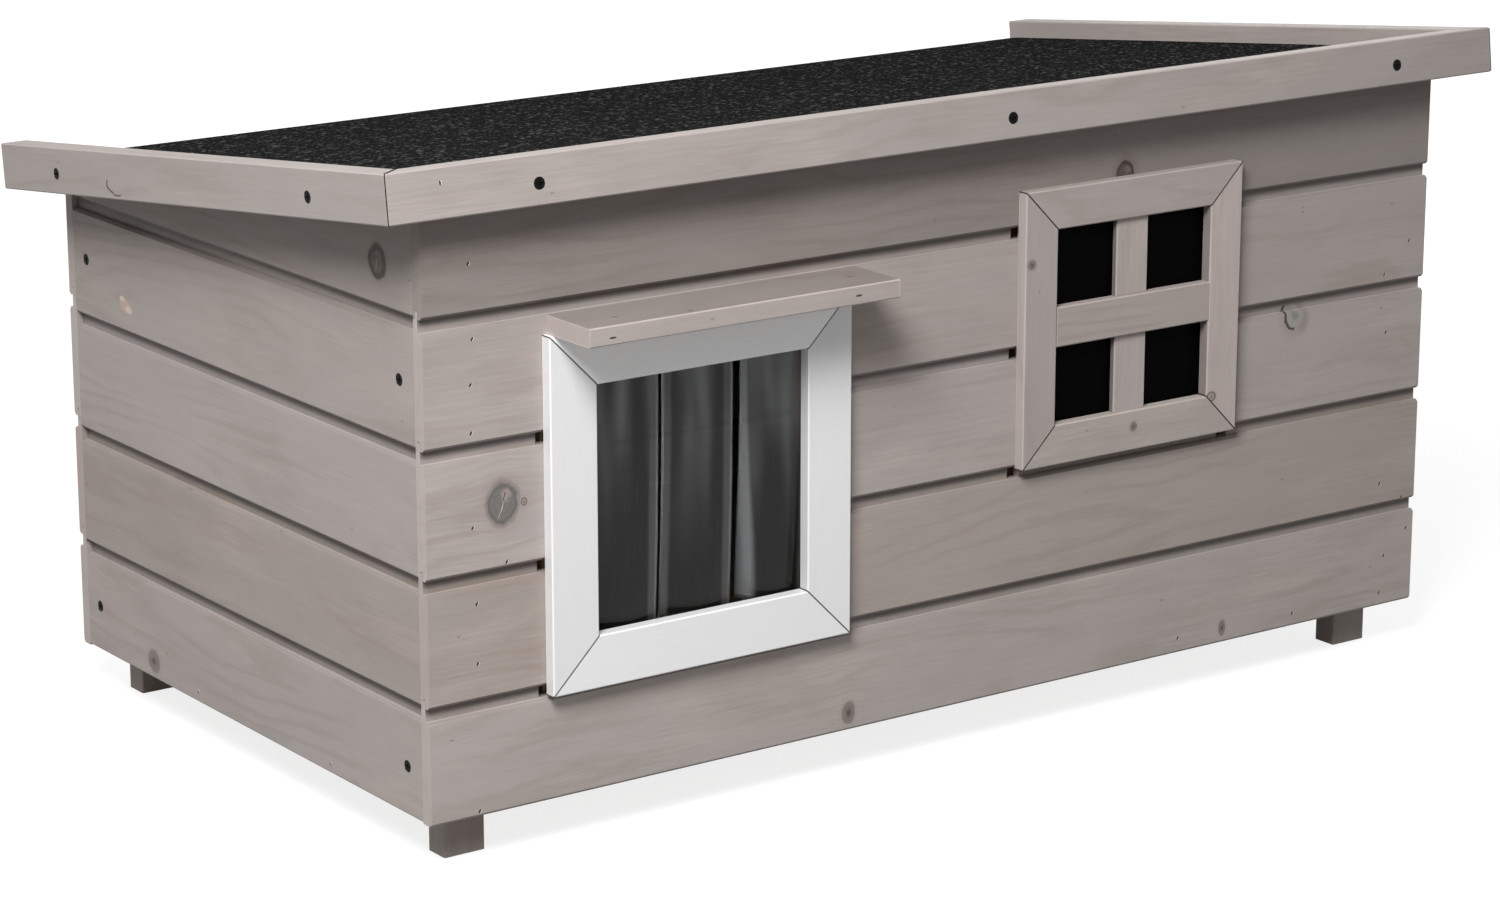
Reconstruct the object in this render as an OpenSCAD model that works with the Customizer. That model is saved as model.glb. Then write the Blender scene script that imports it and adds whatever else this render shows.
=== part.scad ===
// Outdoor cat house: board walls on corner posts, a hinged pent roof, a strip curtain and a barred window.
// X runs along the front from left to right, Y from front to rear, Z up.
// The origin is on the ground, midway between the left and right ends and the front and rear ends.

/* [Walls] */
// Width of the house over its walls
wall_w = 800; // [760:10:900]
// Depth of the house over its walls
wall_d = 450; // [400:10:460]
// Thickness of the wall boards
board_t = 9; // [8:0.5:11]
// Height that each front and side board covers
board_pitch = 78.7; // [78:0.1:79.5]
// Height of the bottom row of the front and side walls
bottom_row = 73.4; // [72:0.1:76]
// How much of the top front board shows below the roof's fascia
top_row = 63.4; // [60:0.1:68]
// Height that each rear board covers
rear_pitch = 82.4; // [78:0.1:84]
// Height of the bottom row of the rear wall
rear_bottom_row = 76.8; // [65:0.1:78]
// Height of the bare tongue that shows between two boards
shadow_gap = 8; // [4:0.5:10]
// How far the bare tongue lies behind the faces of the boards
shadow_depth = 4.4; // [3:0.1:5]
// Thickness of the tongues
tongue_t = 2.4; // [1.6:0.1:2.6]
// How far a tongue reaches into the board above
tongue_len = 5; // [3:0.5:7]
// How far the tongues are cut back beside the door and window frames
tongue_clear = 2.8; // [1:0.1:5]
// Width of that cut
tongue_cut_w = 9; // [6:0.5:14]
// Chamfer along the faces of the boards
board_chamfer = 1.8; // [0.5:0.1:2.5]

/* [Posts, battens and floor] */
// Width of a corner post along the front
post_w = 28.7; // [24:0.1:34]
// Depth of a corner post
post_d = 18.4; // [16:0.1:24]
// Length of the posts that shows as feet
foot_h = 30.5; // [20:0.5:60]
// Width of the battens in the corners and in the middle of the rear wall
batten_w = 28.5; // [24:0.5:30]
// Width of the battens beside the doorway and the window
jamb_w = 20; // [16:0.5:20.5]
// Thickness of the battens and the floor bearers
batten_t = 12.5; // [10:0.5:14]
// Distance of the battens from the edges of the cuts in the front boards
batten_inset = 1; // [0.5:0.5:5]
// Height of the floor bearers
bearer_h = 28; // [20:0.5:34]
// Thickness of the floor panel
floor_t = 9; // [6:0.5:12]
// Gap between the flat tops of posts and battens and the roof
top_gap = 5; // [2:0.5:12]

/* [Door] */
// Width of the doorway inside its frame
door_w = 155.5; // [145:0.5:160]
// Height of the doorway inside its frame
door_h = 155.7; // [150:0.1:160]
// Distance from the left end of the house to the doorway
door_x = 115.6; // [110:0.1:130]
// Height of the doorway above the bottom of the walls
door_z = 101; // [95:0.5:104]
// Width of the door frame's members
door_frame_w = 33.3; // [25:0.1:36]
// Thickness of the door frame
door_frame_t = 8.3; // [6:0.1:12]
// Distance from the doorway's sides to the cut in the boards
door_hole_side = 8; // [7:0.5:12]
// Distance from the doorway's lower edge to the cut in the boards
door_hole_under = 6; // [4.5:0.5:10]
// Distance from the doorway's upper edge to the cut in the boards
door_hole_over = 16.3; // [12:0.1:22]

/* [Curtain] */
// Thickness of a strip
strip_t = 1.5; // [1:0.1:2]
// How far the left strip reaches behind the door frame's left member
left_tuck = 2; // [1:0.1:6]
// How far the right strip reaches behind the door frame's right member
right_tuck = 6.6; // [1:0.1:6.8]
// Gap between the left and the middle strip
left_gap = 3.5; // [1:0.1:5]
// Gap between the middle and the right strip
right_gap = 6.1; // [1:0.1:7]
// How far the strips hang down behind the bottom of the door frame
strip_drop = 3; // [1:0.5:4]
// How far the strips reach up behind the top of the door frame
strip_rise = 3.5; // [2:0.5:6]

/* [Awning] */
// Distance from the door frame's left edge to the awning board
awning_inset = 2.9; // [0:0.1:10]
// How far the awning board reaches beyond the door frame's right edge
awning_over = 7.2; // [0:0.1:20]
// How far the awning board stands out from the wall
awning_d = 46.9; // [35:0.1:80]
// Thickness of the awning board
awning_t = 11.8; // [8:0.1:18]

/* [Window] */
// Width of the window inside its frame
window_w = 129.2; // [110:0.1:140]
// Height of the window inside its frame
window_h = 128.7; // [120:0.1:129]
// Distance from the left end of the house to the window
window_x = 468.5; // [440:0.1:500]
// Distance from the top of the window up to the top board
window_drop = 3.1; // [3:0.1:10]
// Width of the window frame's members
window_frame_w = 26.7; // [20:0.1:30]
// Thickness of the window frame
window_frame_t = 8; // [6:0.1:12]
// Distance from the window's sides and lower edge to the cut in the boards
window_hole_side = 5; // [3:0.5:10]
// Width of the level bar
level_bar_w = 26.3; // [15:0.1:32]
// Height of the level bar above the window's lower edge
level_bar_z = 51.4; // [35:0.1:70]
// Width of the upright bar
upright_bar_w = 26.5; // [15:0.1:32]
// Distance from the window's left side to the upright bar
upright_bar_x = 51.3; // [35:0.1:70]
// How far the upright bar lies behind the frame's face
upright_set_back = 3; // [1:0.5:3.5]
// Thickness of the clear pane
pane_t = 2; // [1.5:0.5:3]

/* [Roof] */
// Slope of the roof, down to the rear, in degrees
roof_slope = 6.9; // [6.5:0.1:7.2]
// Overhang of the roof over each side wall
side_overhang = 34; // [26:0.5:60]
// Overhang of the roof over the front wall
front_overhang = 22.8; // [21:0.1:40]
// How far the side fascias reach behind the rear wall, along the slope
rear_overhang = 18.8; // [16:0.1:24]
// Height of the fascia boards
fascia_h = 30; // [24:0.5:45]
// Thickness of the fascia boards
fascia_t = 19; // [12:0.5:21]
// Gap in the mitred corners of the fascia
fascia_mitre_gap = 1; // [0.2:0.1:1.2]
// Height of the roof panel's underside above the fascia's lower edge
panel_rise = 6; // [4:0.5:7]
// Thickness of the roof panel
panel_t = 10; // [9:0.5:12]
// Thickness of the roofing felt
felt_t = 1.4; // [1:0.1:3]
// How far the felt stops short of the fascia's rear ends
felt_short = 5.6; // [4:0.1:7]

/* [Roof hinges] */
// Length of a hinge
hinge_len = 60; // [40:1:80]
// Width of a hinge leaf from the axis
leaf_w = 24; // [22:0.5:28]
// Thickness of a hinge leaf
leaf_t = 1.5; // [1.2:0.1:1.6]
// Outer radius of a hinge knuckle
knuckle_r = 3.25; // [3:0.05:3.4]
// Radius of a hinge pin
pin_r = 1.5; // [1:0.05:1.6]
// Distance of a hinge from the middle of the house
hinge_x = 250; // [150:10:290]

/* [Screws] */
// Radius of the black screws' heads
head_r = 3.8; // [3:0.1:4]
// Radius of the black screws' shanks
shank_r = 1.75; // [1.5:0.05:1.9]
// Length of the wall screws
wall_screw_len = 35; // [28:1:42]
// Length of the fascia screws
fascia_screw_len = 38; // [30:1:50]
// Distance of the wall screws from the front and rear faces
wall_screw_inset = 26.2; // [26:0.1:30]
// Height of the lower wall screws
wall_screw_low = 31.5; // [25:0.5:45]
// Height of the upper wall screws
wall_screw_high = 269.5; // [250:0.5:285]
// Height of the fascia screws above the roof panel's underside
fascia_screw_rise = 7; // [4:0.5:7]
// Distance of the front fascia's left screw from its left end
screw_from_left = 102.5; // [60:0.5:160]
// Distance of the front fascia's middle screw to the right of its middle
screw_off_middle = 19; // [-60:1:60]
// Distance of the front fascia's right screw from its right end
screw_from_right = 87; // [60:1:160]
// Distance of a side fascia's first screw from its front end
screw_from_front = 90; // [60:1:160]
// Distance of a side fascia's second screw from its rear end
screw_from_rear = 78; // [40:1:120]
// Radius of the hinge screws' heads
small_head_r = 2.6; // [2.2:0.1:3]
// Radius of the hinge screws' shanks
small_shank_r = 1.2; // [1:0.05:1.4]
// Length of the hinge screws
small_screw_len = 8; // [6:0.5:9]

/* [Clearances] */
// Gap between two pieces that are fixed to each other
seat = 0.2; // [0.1:0.05:0.25]
// Gap between pieces that move past each other
run_gap = 0.4; // [0.3:0.05:0.5]
// Radial clearance of the hinge pins
pin_gap = 0.05; // [0.02:0.01:0.1]
// Small chamfer on posts, frames and fascia
ease = 0.8; // [0.3:0.1:1.5]

/* [Hidden] */
$fn = 32;

grey_wood = [0.66, 0.63, 0.61];
bare_wood = [0.83, 0.72, 0.56];
white_paint = [0.9, 0.9, 0.9];
clear_sheet = [0.8, 0.85, 0.88, 0.4];
felt_black = [0.13, 0.14, 0.14];
steel = [0.7, 0.7, 0.72];
black_steel = [0.08, 0.08, 0.09];

front_rows = 5;
rear_rows = 4;
strips = 3;
knuckles = 5;
// Longer than any piece, for cuts that go right through
beyond = 2 * wall_w;

// Lower edge of the front wall's top board, of the fascia and of the window
top_row_z = bottom_row + (front_rows - 2) * board_pitch;
fascia_z = top_row_z + top_row;
window_z = top_row_z - window_drop - window_h;

left_x = -wall_w / 2;
roof_w = wall_w + 2 * side_overhang;
roof_left = -roof_w / 2;

// Inner faces of the walls, with a seat gap
inner_x = left_x + board_t + seat;
inner_y = board_t + seat;
// Where the corner posts stand, inside the battens
post_x = inner_x + batten_t + seat;
post_y = inner_y + batten_t + seat;
floor_z = bearer_h + seat;
above_floor = floor_z + floor_t + seat;

// The roof's own frame: s runs down the slope from the front fascia's lower edge, n is square to it
roof_length = (wall_d + front_overhang) / cos(roof_slope) + rear_overhang;
felt_end = roof_length - felt_short;
panel_end = felt_end - felt_t - seat;
panel_x = roof_left + fascia_t + seat;
panel_s = fascia_t + seat;
felt_n = panel_rise + panel_t + seat;
wall_top_n = panel_rise - run_gap;
fascia_screw_n = panel_rise + fascia_screw_rise;
mitre_slit = fascia_mitre_gap / sqrt(2);

// Height of a level n of the roof above a place y, both from the bottom front edge of the walls
function roof_z(n, y) = fascia_z + n / cos(roof_slope) - (y + front_overhang) * tan(roof_slope);

// Distance down the slope of a level n above a place y
function roof_s(n, y) = (y + front_overhang - n * sin(roof_slope)) / cos(roof_slope);

// Height of a row's lower edge
function row_z(row, first, pitch) = row == 1 ? 0 : first + (row - 2) * pitch;

// Height of a row; the top row runs up past the roof, which cuts it
function row_h(row, rows, first, pitch) = row == 1 ? first : row == rows ? 2 * pitch : pitch;

// The hinge axis, behind the rear wall and under the roof panel
hinge_n = panel_rise - run_gap - knuckle_r;
hinge_y = wall_d + run_gap + knuckle_r;
knuckle_len = hinge_len / knuckles;
// Face of a leaf that lies on the wood, and the line of its screws, measured from the axis
leaf_face = knuckle_r + run_gap - seat;
leaf_screw_y = 2 * small_head_r - leaf_w;

// The awning's front edge and the upper rear corner of the side fascias bound the house
rear_tip = roof_length * cos(roof_slope) + fascia_h * sin(roof_slope) - front_overhang;
origin_y = (rear_tip - awning_d) / 2;

// Cuts in the front boards: left, bottom, right, top
door_hole = [
    left_x + door_x - door_hole_side, door_z - door_hole_under,
    left_x + door_x + door_w + door_hole_side, door_z + door_h + door_hole_over
];
window_hole = [
    left_x + window_x - window_hole_side, window_z - window_hole_side,
    left_x + window_x + window_w + window_hole_side, top_row_z
];

// The strips hang side by side and bend along the rail's lower edge
strip_top = door_z + door_h + strip_rise;
strip_bottom = door_z - strip_drop;
strip_w = (left_tuck + door_w + right_tuck - left_gap - right_gap) / strips;
left_strip_x = left_x + door_x - left_tuck;
middle_strip_x = left_strip_x + strip_w + left_gap;
right_strip_x = middle_strip_x + strip_w + right_gap;

// Outer edges of the door and window frames: left, bottom, right, top
door_edge = [
    left_x + door_x - door_frame_w, door_z - door_frame_w,
    left_x + door_x + door_w + door_frame_w, door_z + door_h + door_frame_w
];
window_edge = [
    left_x + window_x - window_frame_w, window_z - window_frame_w,
    left_x + window_x + window_w + window_frame_w, window_z + window_h + window_frame_w
];

// Backs of the frames, and the window bars halved into each other
frame_back = -seat;
window_face = -window_frame_t;
upright_face = window_face + upright_set_back;
lap_y = (upright_face + frame_back) / 2;

// Stands the walls' frame, with Z = 0 at the bottom of the walls, on its feet
module house_frame() {
    translate([0, -origin_y, foot_h]) children();
}

// Turns the roof's own frame into the walls' frame
module slope_frame() {
    translate([0, -front_overhang, fascia_z]) rotate([-roof_slope, 0, 0]) children();
}

module roof_frame() {
    house_frame() slope_frame() children();
}

module both_sides() {
    for (side = [0, 1]) mirror([side, 0, 0]) children();
}

// A box from one corner to the other
module block(low, high) {
    translate(low) cube(high - low);
}

// A rectangle with its corners cut at 45 degrees
module eased_rectangle(w, h) {
    polygon([[ease, 0], [w - ease, 0], [w, ease], [w, h - ease], [w - ease, h], [ease, h], [0, h - ease], [0, ease]]);
}

// Boxes whose long edges are eased, lying along X, lying along Y and standing
module eased_x(low, high) {
    d = high - low;
    translate(low) rotate([90, 0, 90]) linear_extrude(d.x) eased_rectangle(d.y, d.z);
}

module eased_y(low, high) {
    d = high - low;
    translate([low.x, high.y, low.z]) rotate([90, 0, 0]) linear_extrude(d.y) eased_rectangle(d.x, d.z);
}

module eased_z(low, high) {
    d = high - low;
    translate(low) linear_extrude(d.z) eased_rectangle(d.x, d.y);
}

// Section of a tongue and groove board: across from its face, then up
module board_section(h, groove, tongue) {
    back = shadow_depth + tongue_t;
    polygon(concat(
        [[0, board_chamfer], [0, tongue ? h - shadow_gap - board_chamfer : h]],
        tongue ? [
            [board_chamfer, h - shadow_gap], [shadow_depth, h - shadow_gap],
            [shadow_depth, h + tongue_len], [back, h + tongue_len], [back, h - seat]
        ] : [],
        [[board_t, tongue ? h - seat : h], [board_t, 0]],
        groove ? [
            [back + seat, 0], [back + seat, tongue_len + 2 * seat],
            [shadow_depth - seat, tongue_len + 2 * seat], [shadow_depth - seat, 0]
        ] : [],
        [[board_chamfer, 0]]
    ));
}

// Everything under a level n of the roof
module under_roof(n) {
    slope_frame() translate([-beyond / 2, -beyond / 2, n - beyond]) cube(beyond);
}

// A board of the front wall
module front_row(row, x0, x1) {
    color(grey_wood) difference() {
        intersection() {
            translate([x0, 0, row_z(row, bottom_row, board_pitch)]) rotate([90, 0, 90]) linear_extrude(x1 - x0)
                board_section(row_h(row, front_rows, bottom_row, board_pitch), row > 1, row < front_rows);
            under_roof(wall_top_n);
        }
        if (row < front_rows) tongue_cuts(row_z(row + 1, bottom_row, board_pitch));
    }
}

// Cuts in a tongue that starts at a height, where it runs past the side of a frame
module tongue_cuts(top) {
    for (edge = [door_edge, window_edge]) if (top > edge[1] && top - shadow_gap < edge[3])
        for (x = [edge[0] - tongue_clear, edge[2] + tongue_clear - tongue_cut_w])
            block([x, -board_t, top - shadow_gap], [x + tongue_cut_w, 2 * board_t, top + board_pitch]);
}

module hole_cut(hole) {
    block([hole[0], -board_t, hole[1]], [hole[2], 2 * board_t, hole[3]]);
}

module front_board_1() {
    house_frame() front_row(1, left_x, -left_x);
}

module front_board_2() {
    house_frame() difference() {
        front_row(2, left_x, -left_x);
        hole_cut(door_hole);
    }
}

module front_board_3_left() {
    house_frame() front_row(3, left_x, door_hole[0]);
}

module front_board_3_right() {
    house_frame() difference() {
        front_row(3, door_hole[2], -left_x);
        hole_cut(window_hole);
    }
}

module front_board_4_left() {
    house_frame() difference() {
        front_row(4, left_x, window_hole[0]);
        hole_cut(door_hole);
    }
}

module front_board_4_right() {
    house_frame() front_row(4, window_hole[2], -left_x);
}

module front_board_5() {
    house_frame() front_row(5, left_x, -left_x);
}

// A board of the rear wall; the top one is let out for the hinges' roof leaves
module rear_row(row) {
    house_frame() color(grey_wood) difference() {
        intersection() {
            translate([-left_x, wall_d, row_z(row, rear_bottom_row, rear_pitch)]) rotate([90, 0, -90])
                linear_extrude(wall_w)
                board_section(row_h(row, rear_rows, rear_bottom_row, rear_pitch), row > 1, row < rear_rows);
            under_roof(wall_top_n);
        }
        if (row == rear_rows) {
            for (x = [-hinge_x, hinge_x]) slope_frame() block(
                [x - hinge_len / 2 - run_gap, panel_s, panel_rise - seat - leaf_t - run_gap],
                [x + hinge_len / 2 + run_gap, roof_length, panel_rise]
            );
            wall_hinges() leaf_screws(true);
        }
    }
}

module rear_board_1() { rear_row(1); }
module rear_board_2() { rear_row(2); }
module rear_board_3() { rear_row(3); }
module rear_board_4() { rear_row(4); }

// A board of a side wall, between the front and rear walls
module side_row(row, side) {
    house_frame() color(grey_wood) mirror([side, 0, 0]) difference() {
        intersection() {
            translate([left_x, wall_d - inner_y, row_z(row, bottom_row, board_pitch)]) rotate([90, 0, 0])
                linear_extrude(wall_d - 2 * inner_y)
                board_section(row_h(row, front_rows, bottom_row, board_pitch), row > 1, row < front_rows);
            under_roof(wall_top_n);
        }
        wall_screw_set(true);
    }
}

module left_board_1() { side_row(1, 0); }
module left_board_2() { side_row(2, 0); }
module left_board_3() { side_row(3, 0); }
module left_board_4() { side_row(4, 0); }
module left_board_5() { side_row(5, 0); }
module right_board_1() { side_row(1, 1); }
module right_board_2() { side_row(2, 1); }
module right_board_3() { side_row(3, 1); }
module right_board_4() { side_row(4, 1); }
module right_board_5() { side_row(5, 1); }

// An upright piece whose flat top stops below the roof; a rear one is mirrored from the front
module upright(x, w, y, d, low, rear) {
    y0 = rear ? wall_d - y - d : y;
    eased_z([x, y0, low], [x + w, y0 + d, roof_z(panel_rise, y0 + d) - top_gap]);
}

module front_battens() {
    house_frame() color(bare_wood) {
        both_sides() upright(post_x, batten_w, inner_y, batten_t, 0, false);
        for (hole = [door_hole, window_hole]) {
            upright(hole[0] - batten_inset - jamb_w, jamb_w, inner_y, batten_t, above_floor, false);
            upright(hole[2] + batten_inset, jamb_w, inner_y, batten_t, above_floor, false);
        }
    }
}

module rear_battens() {
    house_frame() color(bare_wood) {
        both_sides() upright(post_x, batten_w, inner_y, batten_t, 0, true);
        upright(-batten_w / 2, batten_w, inner_y, batten_t, above_floor, true);
    }
}

module side_battens() {
    house_frame() color(bare_wood) both_sides() difference() {
        for (rear = [false, true]) upright(inner_x, batten_t, inner_y, batten_w, 0, rear);
        wall_screw_set(true);
    }
}

// A corner post, which runs on below the walls as a foot
module corner_post(side, rear) {
    house_frame() color(grey_wood) mirror([side, 0, 0]) difference() {
        upright(post_x, post_w, post_y, post_d, -foot_h, rear);
        wall_screw_set(true);
    }
}

module corner_post_front_left() { corner_post(0, false); }
module corner_post_front_right() { corner_post(1, false); }
module corner_post_rear_left() { corner_post(0, true); }
module corner_post_rear_right() { corner_post(1, true); }

module floor_bearers_long() {
    x0 = post_x + batten_w + seat;
    house_frame() color(bare_wood) for (y0 = [inner_y, wall_d - inner_y - batten_t])
        eased_x([x0, y0, 0], [-x0, y0 + batten_t, bearer_h]);
}

module floor_bearers_short() {
    y0 = inner_y + batten_w + seat;
    house_frame() color(bare_wood) both_sides()
        eased_y([inner_x, y0, 0], [inner_x + batten_t, wall_d - y0, bearer_h]);
}

// The floor panel lies on the bearers and is notched round the posts and battens in the corners
module floor_panel() {
    notch_x = post_x + max(post_w, batten_w) + seat;
    notch_y = max(post_y + post_d, inner_y + batten_w) + seat;
    house_frame() color(bare_wood) difference() {
        block([inner_x, inner_y, floor_z], [-inner_x, wall_d - inner_y, floor_z + floor_t]);
        both_sides() {
            block([left_x, 0, 0], [notch_x, notch_y, wall_d]);
            block([left_x, wall_d - notch_y, 0], [notch_x, wall_d, wall_d]);
        }
    }
}

// One member of a mitred frame: outer edge on the X axis, back at Z = 0
module mitred_member(length, w, t) {
    slit = seat / sqrt(2);
    intersection() {
        linear_extrude(t) polygon([[slit, 0], [length - slit, 0], [length - w - slit, w], [w + slit, w]]);
        rotate([90, 0, 90]) linear_extrude(length)
            polygon([[0, 0], [w, 0], [w, t - ease], [w - ease, t], [ease, t], [0, t - ease]]);
    }
}

// A member of the frame round an opening in the front wall; turn 0 is the bottom one, 90 the right one
module frame_member(x, z, w, h, member_w, t, turn) {
    standing = turn == 90 || turn == 270;
    length = (standing ? h : w) + 2 * member_w;
    across = (standing ? w : h) + 2 * member_w;
    translate([left_x + x + w / 2, frame_back, z + h / 2]) rotate([90, 0, 0]) rotate([0, 0, turn])
        translate([-length / 2, -across / 2, 0]) mitred_member(length, member_w, t + frame_back);
}

module door_member(turn) {
    house_frame() color(white_paint)
        frame_member(door_x, door_z, door_w, door_h, door_frame_w, door_frame_t, turn);
}

module door_frame_bottom() { door_member(0); }
module door_frame_right() { door_member(90); }
module door_frame_top() { door_member(180); }
module door_frame_left() { door_member(270); }

// The rail behind the top of the door frame that clamps the strips
module curtain_rail() {
    house_frame() color(bare_wood) eased_x(
        [door_hole[0] + seat, 0, strip_top + run_gap],
        [door_hole[2] - seat, board_t, door_hole[3] - seat]
    );
}

// A clear strip of the curtain
module strip(x0) {
    house_frame() color(clear_sheet)
        block([x0, run_gap, strip_bottom], [x0 + strip_w, run_gap + strip_t, strip_top]);
}

module curtain_strip_left() { strip(left_strip_x); }
module curtain_strip_middle() { strip(middle_strip_x); }
module curtain_strip_right() { strip(right_strip_x); }

// The awning board rests on the top of the door frame
module awning_board() {
    x0 = left_x + door_x - door_frame_w + awning_inset;
    x1 = left_x + door_x + door_w + door_frame_w + awning_over;
    z0 = door_z + door_h + door_frame_w + seat;
    house_frame() color(grey_wood) eased_x([x0, -awning_d, z0], [x1, frame_back, z0 + awning_t]);
}

module window_member(turn) {
    house_frame() color(grey_wood)
        frame_member(window_x, window_z, window_w, window_h, window_frame_w, window_frame_t, turn);
}

module window_frame_bottom() { window_member(0); }
module window_frame_right() { window_member(90); }
module window_frame_top() { window_member(180); }
module window_frame_left() { window_member(270); }

// The level bar, halved at the back for the upright one
module window_bar_level() {
    x0 = left_x + window_x;
    z0 = window_z + level_bar_z;
    house_frame() color(grey_wood) difference() {
        eased_x([x0 + seat, window_face, z0], [x0 + window_w - seat, frame_back, z0 + level_bar_w]);
        block(
            [x0 + upright_bar_x - seat, lap_y, z0 - level_bar_w],
            [x0 + upright_bar_x + upright_bar_w + seat, board_t, z0 + 2 * level_bar_w]
        );
    }
}

// The upright bar, halved at the front for the level one
module window_bar_upright() {
    x0 = left_x + window_x + upright_bar_x;
    z0 = window_z + level_bar_z;
    house_frame() color(grey_wood) difference() {
        eased_z(
            [x0, upright_face, window_z + seat],
            [x0 + upright_bar_w, frame_back, window_z + window_h - seat]
        );
        block(
            [x0 - upright_bar_w, -window_frame_t, z0 - seat],
            [x0 + 2 * upright_bar_w, lap_y + seat, z0 + level_bar_w + seat]
        );
    }
}

// The clear pane stands in the cut in the boards, behind the bars
module window_pane() {
    house_frame() color(clear_sheet) block(
        [window_hole[0] + seat, 0, window_hole[1] + seat],
        [window_hole[2] - seat, pane_t, window_hole[3] - seat]
    );
}

// A countersunk screw along +Z with its head's face a little below the surface at Z = 0
module screw(head, shank, length) {
    difference() {
        union() {
            translate([0, 0, seat]) cylinder(r1 = head, r2 = shank, h = head - shank);
            translate([0, 0, seat]) cylinder(r = shank, h = length - seat);
        }
        for (turn = [0, 90]) rotate([0, 0, turn])
            translate([0, 0, seat]) cube([1.2 * head, head / 4, head / 2], center = true);
    }
}

// The hole that a screw needs
module screw_hole(head, shank, length) {
    clear = seat / 2;
    translate([0, 0, -head]) cylinder(r = head + clear, h = head + seat);
    translate([0, 0, seat]) cylinder(r1 = head + clear, r2 = shank + clear, h = head - shank);
    cylinder(r = shank + clear, h = length + seat);
}

module screw_or_hole(head, shank, length, hole) {
    if (hole) screw_hole(head, shank, length);
    else screw(head, shank, length);
}

// The screws of the left side wall, or their holes
module wall_screw_set(hole) {
    for (y = [wall_screw_inset, wall_d - wall_screw_inset], z = [wall_screw_low, wall_screw_high])
        translate([left_x, y, z]) rotate([0, 90, 0]) screw_or_hole(head_r, shank_r, wall_screw_len, hole);
}

module wall_screws() {
    house_frame() color(black_steel) both_sides() wall_screw_set(false);
}

// The screws of the fascia, or their holes
module fascia_screw_set(hole) {
    for (x = [roof_left + screw_from_left, screw_off_middle, -roof_left - screw_from_right])
        translate([x, 0, fascia_screw_n]) rotate([-90, 0, 0])
        screw_or_hole(head_r, shank_r, fascia_screw_len, hole);
    both_sides() for (s = [screw_from_front, roof_length - screw_from_rear])
        translate([roof_left, s, fascia_screw_n]) rotate([0, 90, 0])
        screw_or_hole(head_r, shank_r, fascia_screw_len, hole);
}

module fascia_screws() {
    roof_frame() color(black_steel) fascia_screw_set(false);
}

module fascia_front() {
    roof_frame() color(grey_wood) difference() {
        intersection() {
            eased_x([roof_left, 0, 0], [-roof_left, fascia_t, fascia_h]);
            linear_extrude(fascia_h) polygon([
                [roof_left + mitre_slit, 0], [-roof_left - mitre_slit, 0],
                [-roof_left - fascia_t - mitre_slit, fascia_t], [roof_left + fascia_t + mitre_slit, fascia_t]
            ]);
        }
        fascia_screw_set(true);
    }
}

// A side fascia, mitred to the front one
module fascia_side(side) {
    roof_frame() color(grey_wood) mirror([side, 0, 0]) difference() {
        intersection() {
            eased_y([roof_left, 0, 0], [roof_left + fascia_t, roof_length, fascia_h]);
            linear_extrude(fascia_h) polygon([
                [roof_left, 0], [roof_left + fascia_t, fascia_t],
                [roof_left + fascia_t, roof_length], [roof_left, roof_length]
            ]);
        }
        fascia_screw_set(true);
    }
}

module fascia_left() { fascia_side(0); }
module fascia_right() { fascia_side(1); }

module roof_panel() {
    roof_frame() color(bare_wood) difference() {
        block([panel_x, panel_s, panel_rise], [-panel_x, panel_end, panel_rise + panel_t]);
        fascia_screw_set(true);
        roof_hinges() leaf_screws(true);
    }
}

// The felt is turned down over the panel's rear edge
module roof_felt() {
    roof_frame() color(felt_black) {
        block([panel_x, panel_s, felt_n], [-panel_x, felt_end, felt_n + felt_t]);
        block([panel_x, felt_end - felt_t, panel_rise], [-panel_x, felt_end, felt_n + felt_t]);
    }
}

// Puts the children on the rear wall, at both hinges
module wall_hinges() {
    for (x = [-hinge_x, hinge_x])
        translate([x, hinge_y, roof_z(hinge_n, hinge_y)]) rotate([90, 0, 0]) children();
}

// Puts the children under the roof panel, at both hinges, in the roof's own frame
module roof_hinges() {
    for (x = [-hinge_x, hinge_x]) translate([x, roof_s(hinge_n, hinge_y), hinge_n]) children();
}

// A hinge leaf with its axis along X and its plate towards -Y; the face at +Z lies on the wood
module hinge_leaf(own) {
    difference() {
        union() {
            for (k = own) {
                x0 = -hinge_len / 2 + k * knuckle_len + (k > 0 ? run_gap / 2 : 0);
                x1 = -hinge_len / 2 + (k + 1) * knuckle_len - (k < knuckles - 1 ? run_gap / 2 : 0);
                translate([x0, 0, 0]) rotate([0, 90, 0]) cylinder(r = knuckle_r, h = x1 - x0);
                block([x0, -leaf_w / 2, leaf_face - leaf_t], [x1, 0, leaf_face]);
            }
            block([-hinge_len / 2, -leaf_w, leaf_face - leaf_t], [hinge_len / 2, -knuckle_r - run_gap, leaf_face]);
        }
        translate([-hinge_len, 0, 0]) rotate([0, 90, 0]) cylinder(r = pin_r + pin_gap, h = 2 * hinge_len);
        leaf_screws(true);
    }
}

// The two screws of a leaf, or their holes
module leaf_screws(hole) {
    for (x = [-hinge_len / 3, hinge_len / 3]) translate([x, leaf_screw_y, leaf_face - leaf_t])
        screw_or_hole(small_head_r, small_shank_r, small_screw_len, hole);
}

module hinge_wall_leaves() {
    house_frame() color(steel) wall_hinges() hinge_leaf([0, 2, 4]);
}

module hinge_roof_leaves() {
    roof_frame() color(steel) roof_hinges() hinge_leaf([1, 3]);
}

module hinge_pins() {
    roof_frame() color(steel) roof_hinges()
        translate([-hinge_len / 2, 0, 0]) rotate([0, 90, 0]) cylinder(r = pin_r, h = hinge_len);
}

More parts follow.
